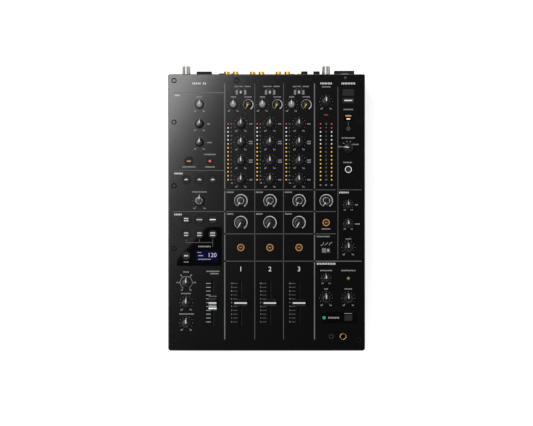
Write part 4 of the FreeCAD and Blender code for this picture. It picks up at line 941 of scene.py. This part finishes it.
def fader_cap(width, length, lever, grips):
    """Cap with its inlaid line, and the lever that carries it down into its slot."""
    sheet = bmesh.new()
    foot = length / 2 - CAP_BEVEL
    upright(sheet, [(-foot, 0)] + cap_side(length, grips) + [(foot, 0)], width, CAP_FINISH)
    if not grips:
        sheet.normal_update()
        for face in sheet.faces:
            near = face.calc_center_median().y < -CAP_RIDGE
            if near and PLATE_TILT[0] < abs(face.normal.z) < PLATE_TILT[1]:
                face.material_index = PLATE_FINISH
    for corner in sheet.verts:
        corner.co.x *= 1 - CAP_DRAFT * corner.co.z / CAP_H
    block(sheet, LINE_W / 2, CAP_H - LINE_SINK, CAP_H + LINE_PROUD, width * (1 - CAP_DRAFT) + LINE_OVER,
          LINE_FINISH)
    bmesh.ops.translate(sheet, verts=sheet.verts, vec=(0, 0, CAP_FOOT))
    block(sheet, LEVER_HALF, lever, CAP_FOOT + LEVER_IN, LEVER_W, LEVER_FINISH)
    bmesh.ops.recalc_face_normals(sheet, faces=sheet.faces)
    return sheet


print("cap shapes ready,", CAP_H, "mm tall")

# %% [markdown]
# Each cap stands on its slide joint, and its lever reaches down through the slot as far as the solid's
# does. The channel caps are wide across their travel, which gives two fingers room, and the effects cap
# is long along it, which suits one.

# %% Stand the fader caps
# node, width, length, with grip lines
CAPS = [(f"channel_fader_{i}", 18.6, 9.4, True) for i in (1, 2, 3)] + [("effects_fader", 11.5, 20.8, False)]
for node, width, length, grips in CAPS:
    foot = FRAME_TO_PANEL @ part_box(node)[0]
    sheet = fader_cap(width, length, foot.z, grips)
    mesh = mesh_from(f"{node}_moulding", sheet, gloss_abs, pointer_white, zinc_steel, turned_alloy)
    where = place_of(node)
    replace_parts(put(f"{node}_cap", mesh, node, (where.x, where.y, 0)), node)
print("fader caps:", len(CAPS))

# %% [markdown]
# The buttons are moulded caps with a translucent ring or mark that lights from below. The solids keep
# their shape, and the lit parts are thin lenses on top that ride with the buttons. The round buttons
# come first.

# %% Round buttons
BUTTON_TOP = 2.0
LENS = {"low": BUTTON_TOP - LENS_SINK, "high": BUTTON_TOP + LENS_PROUD}
CUE_Y, CUE_RING, CUE_WORD = -50.1, (4.95, 4.0), (3.6, 0.8)
MIC_HALF, MIC_Y, TALK_R = 15.0, EQ_YS[2], 1.7
TYPE_Y, TYPE_PEAK = EQ_YS[3], 1.3
SOURCE_Y, ON_Y, MONO_Y = 119.8, 61.6, -94.2
cue_places = [(x, CUE_Y) for x in CHANNEL_XS] + [(MASTER_X, SEND_Y)]
for x, y in cue_places:
    ring("lit_orange", x, y, *CUE_RING, **LENS)
    bar("lit_orange", x, y, *CUE_WORD, **LENS)
bar("lit_orange", LEFT_XS[1] - MIC_HALF, MIC_Y, width=5.6, depth=1.4, **LENS)
ring("lit_red", LEFT_XS[1] + MIC_HALF, MIC_Y, TALK_R, 0, **LENS)
for x in LEFT_XS:
    bar("lit_white", x, TYPE_Y, width=5.0, depth=0.9, **LENS)
    bar("lit_white", x, TYPE_Y + TYPE_PEAK, width=2.0, depth=0.5, **LENS)
ring("lit_grey", RIGHT_X, SOURCE_Y, outer=2.4, inner=1.5, **LENS)
ring("lit_white", RIGHT_X, ON_Y, outer=4.75, inner=3.95, **LENS)
ring("lit_orange", RIGHT_X, MONO_Y, outer=1.5, inner=0, **LENS)
print("round buttons lit:", len(cue_places) + 2 + len(LEFT_XS) + 3)

# %% [markdown]
# The seven effects buttons carry one or two short lit words each. They are rows of bars like the
# printing, only white and glowing.

# %% Effects buttons
SEND_BUTTON_Y, EFFECT_Y, TAP_Y = -10.2, -31.0, -61.9
PAIR_ACROSS, PAIR_UP = 1.7, 1.6
EFFECT_WIDTHS, EFFECT_UP = (6.0, 6.2, 7.2), 1.75
for side in (-1, 1):
    for up in (-1, 1):
        x, y = LEFT_XS[0] + side * PAIR_ACROSS, SEND_BUTTON_Y + up * PAIR_UP
        bar("lit_white", x, y, width=2.6, depth=1.2, **LENS)
lettering("lit_white", LEFT_XS[1], SEND_BUTTON_Y, width=8.0, height=1.4, **LENS)
bar("lit_white", LEFT_XS[2], SEND_BUTTON_Y, width=8.4, depth=1.4, **LENS)
for x, width in zip(LEFT_XS, EFFECT_WIDTHS):
    for up in (-1, 1):
        lettering("lit_white", x, EFFECT_Y + up * EFFECT_UP, width, height=1.5, **LENS)
lettering("lit_white", LEFT_XS[0], TAP_Y, width=5.8, height=1.9, **LENS)
print("lit marks on the buttons ready")

# %% [markdown]
# The sockets are solids already. What the eye still misses is added here: the rims that stand proud on
# the microphone socket and the mains inlet, and the tongue in the data socket. A rim is four bars laid
# round an opening, which keeps the opening clear.

# %% Socket rims
MIC_SOCKET_X, MIC_SOCKET_Z = -90.0, -32.0
INLET_X, INLET_Z = 112.9, -52.0
# x, z, width, height, wall, start, reach
RIMS = [(MIC_SOCKET_X, MIC_SOCKET_Z, 21.6, 26.8, 2.0, REAR_FACE + 6.2, 1.9),
        (INLET_X, INLET_Z, 28.8, 21.8, 2.2, REAR_FACE + 6.9, 3.9)]
TONGUE_W, TONGUE_D, TONGUE_HEIGHTS = 11.6, 1.7, {"low": -0.9, "high": -0.3}
for x, z, width, height, wall, start, reach in RIMS:
    middle = start + reach / 2
    inside = height / 2 - wall
    for side in (-1, 1):
        rise = z + side * (height - wall) / 2
        bar("rims", x, middle, width, reach, low=rise - wall / 2, high=rise + wall / 2)
        bar("rims", x + side * (width - wall) / 2, middle, wall, reach, low=z - inside, high=z + inside)
bar("tongue", RIGHT_X, DATA_Y, TONGUE_W, TONGUE_D, **TONGUE_HEIGHTS)
print("rims:", len(RIMS))

# %% [markdown]
# Two pieces of socket hardware are turned on a lathe: the rounded gold bush of the headphone jack and
# the straight nuts of the ground terminals. The nuts are shaded flat, so that the highlight along each
# one doesn't bend at its ends.

# %% Turned hardware
HEADPHONE_X, HEADPHONE_Y = 109.5, -177.5
BUSH = [(3.6, 0.4), (3.6, 0.7), (3.8, 0.95), (4.2, 1.05), (4.6, 0.95), (4.8, 0.7), (4.8, 0.4)]
NUT_R, NUT_EDGE, NUT_GAP = 5.95, 0.25, 0.05
TERMINAL_Z = -20.0
bush = mesh_from("headphone_bush", turned(BUSH), gold)
put("headphone_bush", bush, "chassis", (HEADPHONE_X, HEADPHONE_Y, 0))
nut_end = (FRAME_TO_PANEL @ cad_box[1]).y - REAR_FACE - NUT_GAP
sheet = turned([(0, NUT_GAP), (NUT_R, NUT_GAP), (NUT_R, nut_end - NUT_EDGE), (NUT_R - NUT_EDGE, nut_end),
                (0, nut_end)])
sheet.transform(Matrix.Rotation(-math.pi / 2, 4, "X"))
for face in sheet.faces:
    face.smooth = False
nut = mesh_from("ground_nut", sheet, satin_nickel)
for i, x in enumerate(TERMINAL_XS, 1):
    put(f"ground_nut_{i}", nut, "chassis", place=(x, REAR_FACE, TERMINAL_Z))
print("ground nuts reach", round(nut_end, 1), "mm back")

# %% [markdown]
# Behind the smoked windows lie the display and small indicators. They are thin lenses set just above
# the acrylic, where their light would leave it, because an opaque dark pane keeps the gloss right.

# %% Display window
WINDOW_TOP = (FRAME_TO_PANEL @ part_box("smoked_windows")[1]).z
PANE_SINK, PANE_PROUD = 0.05, 0.03
PANE = {"low": WINDOW_TOP - PANE_SINK, "high": WINDOW_TOP + PANE_PROUD}
OVER_PANE = {"low": WINDOW_TOP - PANE_SINK, "high": WINDOW_TOP + LENS_PROUD}
DISPLAY_X, DISPLAY_W, DISPLAY_D = -85.5, 32.0, 16.0
TEMPO, TEMPO_X, TEMPO_Y, TEMPO_H = "120", -77.9, -61.2, 6.0
# x, y, width, height
DISPLAY_WORDS = [(-94.4, -61.8, 7.0, 1.4), (-96.4, -57.2, 5.6, 1.0), (-89.0, -67.0, 18.0, 1.1)]
WINDOW_WORDS = [(-88.9, -48.7, 18.0, 2.0), (LEFT_XS[0], -70.9, 7.0, 1.7)]
TREE_TOP_Y, TREE_Y, TREE_FOOT_Y, TREE_W = -40.6, -43.0, -46.0, 0.8
bar("display", DISPLAY_X, TAP_Y, DISPLAY_W, DISPLAY_D, **PANE)
figures("segments", TEMPO, TEMPO_X, TEMPO_Y, TEMPO_H, **OVER_PANE)
for x, y, width, height in DISPLAY_WORDS:
    lettering("segments", x, y, width, height, **OVER_PANE)
for x in LEFT_XS:
    bar("dim", x, TREE_TOP_Y, TREE_W, depth=4.6, **OVER_PANE)
bar("dim", LEFT_XS[1], TREE_Y, LEFT_XS[2] - LEFT_XS[0], depth=0.9, **OVER_PANE)
bar("dim", LEFT_XS[2], TREE_FOOT_Y, TREE_W, depth=6.0, **OVER_PANE)
for x, y, width, height in WINDOW_WORDS:
    lettering("grey", x, y, width, height, **OVER_PANE)
print("display drawn, pane top at", round(WINDOW_TOP, 2), "mm")

# %% [markdown]
# The two small windows tell which source is playing and whether the wireless link is up. Beside the
# fader curve switch three small strokes show the curves: bowed down, straight and bowed up.

# %% Small windows and curve marks
SOURCE_HIGH_Y, SOURCE_LOW_Y, SOURCE_STEM_Y = 138.4, 133.9, 126.5
LINK_X, LINK_Y, LINK_R = 82.4, -150.7, 2.3
LINK_WORD_X, LINK_LINE_UP = 96.0, 6.1
CURVE_XS, CURVE_BOWS, CURVE_W, BOW_LEAN = (79.5, 85.6, 91.8), (-1.3, 0.0, 1.3), 0.7, 0.4
CURVE_ENDS, CURVE_KNEES = ((-2.2, -47.0), (2.2, -43.0)), ((-0.7, -45.8), (0.7, -44.4))
bar("lit_orange_window", RIGHT_X, SOURCE_HIGH_Y, width=8.4, depth=2.0, **OVER_PANE)
bar("lit_white_window", RIGHT_X, SOURCE_LOW_Y, width=5.0, depth=1.8, **OVER_PANE)
bar("dim", RIGHT_X, SOURCE_STEM_Y, width=0.8, depth=7.4)
ring("lit_green_window", LINK_X, LINK_Y, LINK_R, 0, **OVER_PANE)
lettering("grey", LINK_WORD_X, LINK_Y, width=16.0, height=2.4, **OVER_PANE)
bar("grey", RIGHT_X, LINK_Y + LINK_LINE_UP, width=11.0, depth=0.7, **OVER_PANE)
for middle, bow in zip(CURVE_XS, CURVE_BOWS):
    first, last = [(middle + x, y) for x, y in CURVE_ENDS]
    knees = [(middle + x - bow * BOW_LEAN, y + bow) for x, y in CURVE_KNEES]
    points = [first, *knees, last]
    for start, end in zip(points, points[1:]):
        stroke("grey", start, end, CURVE_W)
print("curve marks:", len(CURVE_XS))

# %% [markdown]
# The rear panel is printed too, with a word by each socket. The words are drawn flat like the others
# and then stood up against the rear face.

# %% Rear lettering
REAR_HEIGHT = 2.0
# x, z, width
REAR_WORDS = [(x, z, width) for x in (-51.0, -13.75, 23.5) for z, width in ((-11.0, 12.0), (-30.5, 10.0))]
REAR_WORDS += [(43.0, -54.0, 14.0), (72.0, -53.5, 9.0), (INLET_X, -69.0, 14.0), (MIC_SOCKET_X, -49.5, 12.0)]
REAR_WORDS += [(x, -30.0, 10.0) for x in TERMINAL_XS]
for x, z, width in REAR_WORDS:
    lettering("rear", x, z, width, REAR_HEIGHT)
sheets["rear"].transform(Matrix(((1, 0, 0, 0), (0, 0, 1, REAR_FACE), (0, 1, 0, 0), (0, 0, 0, 1))))
print("words on the rear panel:", len(REAR_WORDS))

# %% [markdown]
# All the marks are now cut out as pieces. Ink and window marks stay with the case, and the lit marks
# on the buttons go down with them.

# %% Gather the marks
INKS = {"white": ink_white, "grey": ink_grey, "dim": ink_dim, "line": ink_line, "rear": ink_grey,
        "lamp_red": lens_red, "lamp_white": lens_white, "lamp_amber": lens_amber,
        "lamp_clip": lens_dark_red, "display": display_glass, "segments": display_ink,
        "lit_orange": lens_orange, "lit_grey": ink_dim, "lit_red": lens_red, "lit_white": lens_white,
        "lit_orange_window": lens_orange, "lit_white_window": lens_white, "lit_green_window": lens_green,
        "rims": polyamide, "tongue": pointer_white}
for key, sheet in sheets.items():
    bmesh.ops.recalc_face_normals(sheet, faces=sheet.faces)
    on_buttons = key.startswith("lit_") and not key.endswith("_window")
    mesh = mesh_from(f"{key}_marks", sheet, INKS[key])
    put(f"{key}_marks", mesh, "push_buttons" if on_buttons else "chassis")
print("sheets of marks:", sorted(sheets))

# %% [markdown]
# The panel is held by countersunk screws with a hexagon socket. One screw is turned, a hexagon is cut
# out of its head, and it is set at each place along the edges, turned a little further each time, as a
# fitter would leave them. Flat shading keeps the head's flat and its slope apart.

# %% Screws
SCREW_HEAD_R, SCREW_FLAT_R, SCREW_R, SCREW_HEAD_H = 3.5, 2.45, 2.0, 2.2
SCREW_RIM_Z, FLAT_EDGE_Z, FLAT_EDGE_W = -1.3, -0.1, 0.15
SCREW_TIP_W, SCREW_TIP_H = 0.4, 0.6
SCREW_END = (FRAME_TO_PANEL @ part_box("case_screws")[0]).z
RECESS_R, RECESS_DEPTH, RECESS_SIDES = 1.35, 1.6, 6
SCREW_TURN = 17.0
sheet = turned([(0, SCREW_END), (SCREW_R - SCREW_TIP_W, SCREW_END), (SCREW_R, SCREW_END + SCREW_TIP_H),
                (SCREW_R, -SCREW_HEAD_H), (SCREW_HEAD_R, SCREW_RIM_Z), (SCREW_FLAT_R, FLAT_EDGE_Z),
                (SCREW_FLAT_R - FLAT_EDGE_W, 0), (0, 0)])
# Faces below the head's flat take the painted shade: a blacker matt coat that darkens the sloping flank.
for face in sheet.faces:
    face.material_index = int(face.calc_center_median().z < FLAT_EDGE_Z)
screw = bpy.data.objects.new("screw_blank", mesh_from("screw_blank", sheet, black_oxide, screw_flank_shade))
sheet = bmesh.new()
bmesh.ops.create_cone(sheet, cap_ends=True, segments=RECESS_SIDES, radius1=RECESS_R, radius2=RECESS_R,
                      depth=2 * RECESS_DEPTH)
cutter = bpy.data.objects.new("recess_cutter", mesh_from("recess_cutter", sheet))
for one in (screw, cutter):
    bpy.context.scene.collection.objects.link(one)
cut = screw.modifiers.new("recess", "BOOLEAN")
cut.object, cut.operation = cutter, "DIFFERENCE"
bpy.context.view_layer.update()
screw_mesh = bpy.data.meshes.new_from_object(screw.evaluated_get(bpy.context.evaluated_depsgraph_get()))
screw_mesh.name = "panel_screw"
for face in screw_mesh.polygons:
    face.use_smooth = False
for one in (screw, cutter):
    bpy.data.objects.remove(one)
for i, (x, y) in enumerate(SCREW_PLACES):
    piece = put(f"panel_screw_{i + 1}", screw_mesh, "chassis", (x, y, 0), SCREW_TURN * i)
    if i == 0:
        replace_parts(piece, "case_screws")
print("screws:", len(SCREW_PLACES), "with", len(screw_mesh.polygons), "faces each")

# %% [markdown]
# The photograph is taken from far above with a long lens, so the camera looks straight down and the
# sides hardly show. The field is 763 mm across at the panel.

# %% Camera
VIEW_WIDTH = 0.763
CAMERA_X, CAMERA_Y = -0.0001, -0.0070
LONG_LENS, SENSOR, FAR_CLIP = 135.0, 36.0, 30.0
lens = bpy.data.cameras.new("overhead_camera")
lens.lens, lens.sensor_width, lens.clip_end = LONG_LENS, SENSOR, FAR_CLIP
camera = bpy.data.objects.new("overhead_camera", lens)
CAMERA_RISE = VIEW_WIDTH * lens.lens / lens.sensor_width
camera.location = (CAMERA_X, CAMERA_Y, panel_high.z + CAMERA_RISE)
bpy.context.scene.collection.objects.link(camera)
bpy.context.scene.camera = camera
print("camera", round(CAMERA_RISE, 3), "m above the panel")

# %% [markdown]
# A white sweep stands for the studio: a disc that curves up far away. It is painted white and, where
# the camera or a reflection looks at it, lifted a little to paper white, so the soft shadow stays.

# %% Studio floor
SWEEP_PROFILE = [(5.5, 0.0), (6.4, 0.15), (7.2, 0.7), (7.7, 1.6), (8.0, 3.0)]
TURNS = 64
FLOOR_LIFT, FLOOR_ROUGHNESS = 0.7, 0.9
around = [2 * math.pi * s / TURNS for s in range(TURNS)]
sheet = bmesh.new()
rows = [[sheet.verts.new((r * math.cos(a), r * math.sin(a), z)) for a in around] for r, z in SWEEP_PROFILE]
sheet.faces.new(rows[0])
for low, high in zip(rows, rows[1:]):
    for s in range(TURNS):
        t = (s + 1) % TURNS
        sheet.faces.new((low[s], low[t], high[t], high[s])).smooth = True
mesh = bpy.data.meshes.new("studio_sweep")
sheet.to_mesh(mesh)
sheet.free()
# Matt white paper: no shine, so that only the shadow shows on it.
paper = finish_of("white_paper_sweep", "f4f4f4", FLOOR_ROUGHNESS)
tree = paper.node_tree
shader = tree.nodes["Principled BSDF"].inputs
shader["Emission Color"].default_value = linear("ffffff")
path = add_node(tree, "ShaderNodeLightPath").outputs
seen = add_node(tree, "ShaderNodeMath", links={0: path["Is Camera Ray"], 1: path["Is Glossy Ray"]},
                operation="ADD")
seen = add_node(tree, "ShaderNodeMath", links={0: seen.outputs[0], 1: path["Is Transmission Ray"]},
                operation="ADD", use_clamp=True)
lift = add_node(tree, "ShaderNodeMath", {1: FLOOR_LIFT}, {0: seen.outputs[0]}, operation="MULTIPLY")
tree.links.new(lift.outputs[0], shader["Emission Strength"])
mesh.materials.append(paper)
floor = bpy.data.objects.new("studio_sweep", mesh)
bpy.context.scene.collection.objects.link(floor)
print("studio sweep", 2 * SWEEP_PROFILE[-1][0], "m across")

# %% [markdown]
# The light comes from a bright softbox up on the left, whose sheen fades across the paint, and a narrow
# dim scrim that draws the slanting edge in the glossy display window. Two fills low at the front and
# right catch the near rims of the knobs. Each light is set by how bright its face is, because that is
# what a glossy surface shows.

# %% Lights
LIGHT_RISE, SCRIM_RISE = 2.0, 2.05
TARGET = (0, 0, 0.09)
WORLD_STRENGTH = 0.03


def softbox(name, place, aim, width, depth, brightness):
    """Area light with a face of that brightness, pointing from its place at a point."""
    data = bpy.data.lights.new(name, "AREA")
    data.shape, data.size, data.size_y = "RECTANGLE", width, depth
    data.energy = brightness * math.pi * width * depth
    lamp = bpy.data.objects.new(name, data)
    bpy.context.scene.collection.objects.link(lamp)
    lamp.location = place
    lamp.rotation_euler = (Vector(aim) - Vector(place)).to_track_quat("-Z", "Y").to_euler()
    lamp.visible_camera = False
    return lamp


def overhead(name, bearing, edge, width, depth, brightness, rise, slide=0.0):
    """Level light: its straight edge lies that far out along a bearing, slid along itself."""
    turn = math.radians(bearing)
    way = Vector((math.cos(turn), math.sin(turn)))
    middle = way * (edge + width / 2) + slide * Vector((-way.y, way.x))
    place = (camera.location.x + middle.x, camera.location.y + middle.y, panel_high.z + rise)
    lamp = softbox(name, place, (place[0], place[1], 0), width, depth, brightness)
    lamp.rotation_euler = (0, 0, turn)


overhead("left_softbox", bearing=149, edge=0.31, width=0.7, depth=1.5, brightness=9.2, rise=LIGHT_RISE)
overhead("rear_scrim", bearing=138, edge=0.087, width=0.08, depth=2.0, brightness=0.28, rise=SCRIM_RISE,
         slide=1.04)
softbox("front_fill", (0.2, -2.2, 1.7), TARGET, width=1.6, depth=0.8, brightness=4.4)
softbox("right_fill", (2.3, 0.3, 1.8), TARGET, width=1.0, depth=1.4, brightness=3.0)
world = bpy.data.worlds.new("studio_dim")
world.use_nodes = True
background = world.node_tree.nodes["Background"].inputs
background["Color"].default_value = linear("ffffff")
background["Strength"].default_value = WORLD_STRENGTH
bpy.context.scene.world = world
bpy.context.scene.view_settings.view_transform = "Standard"

# %% [markdown]
# Last, a closing line is printed.

# %% Finish
print("scene built")
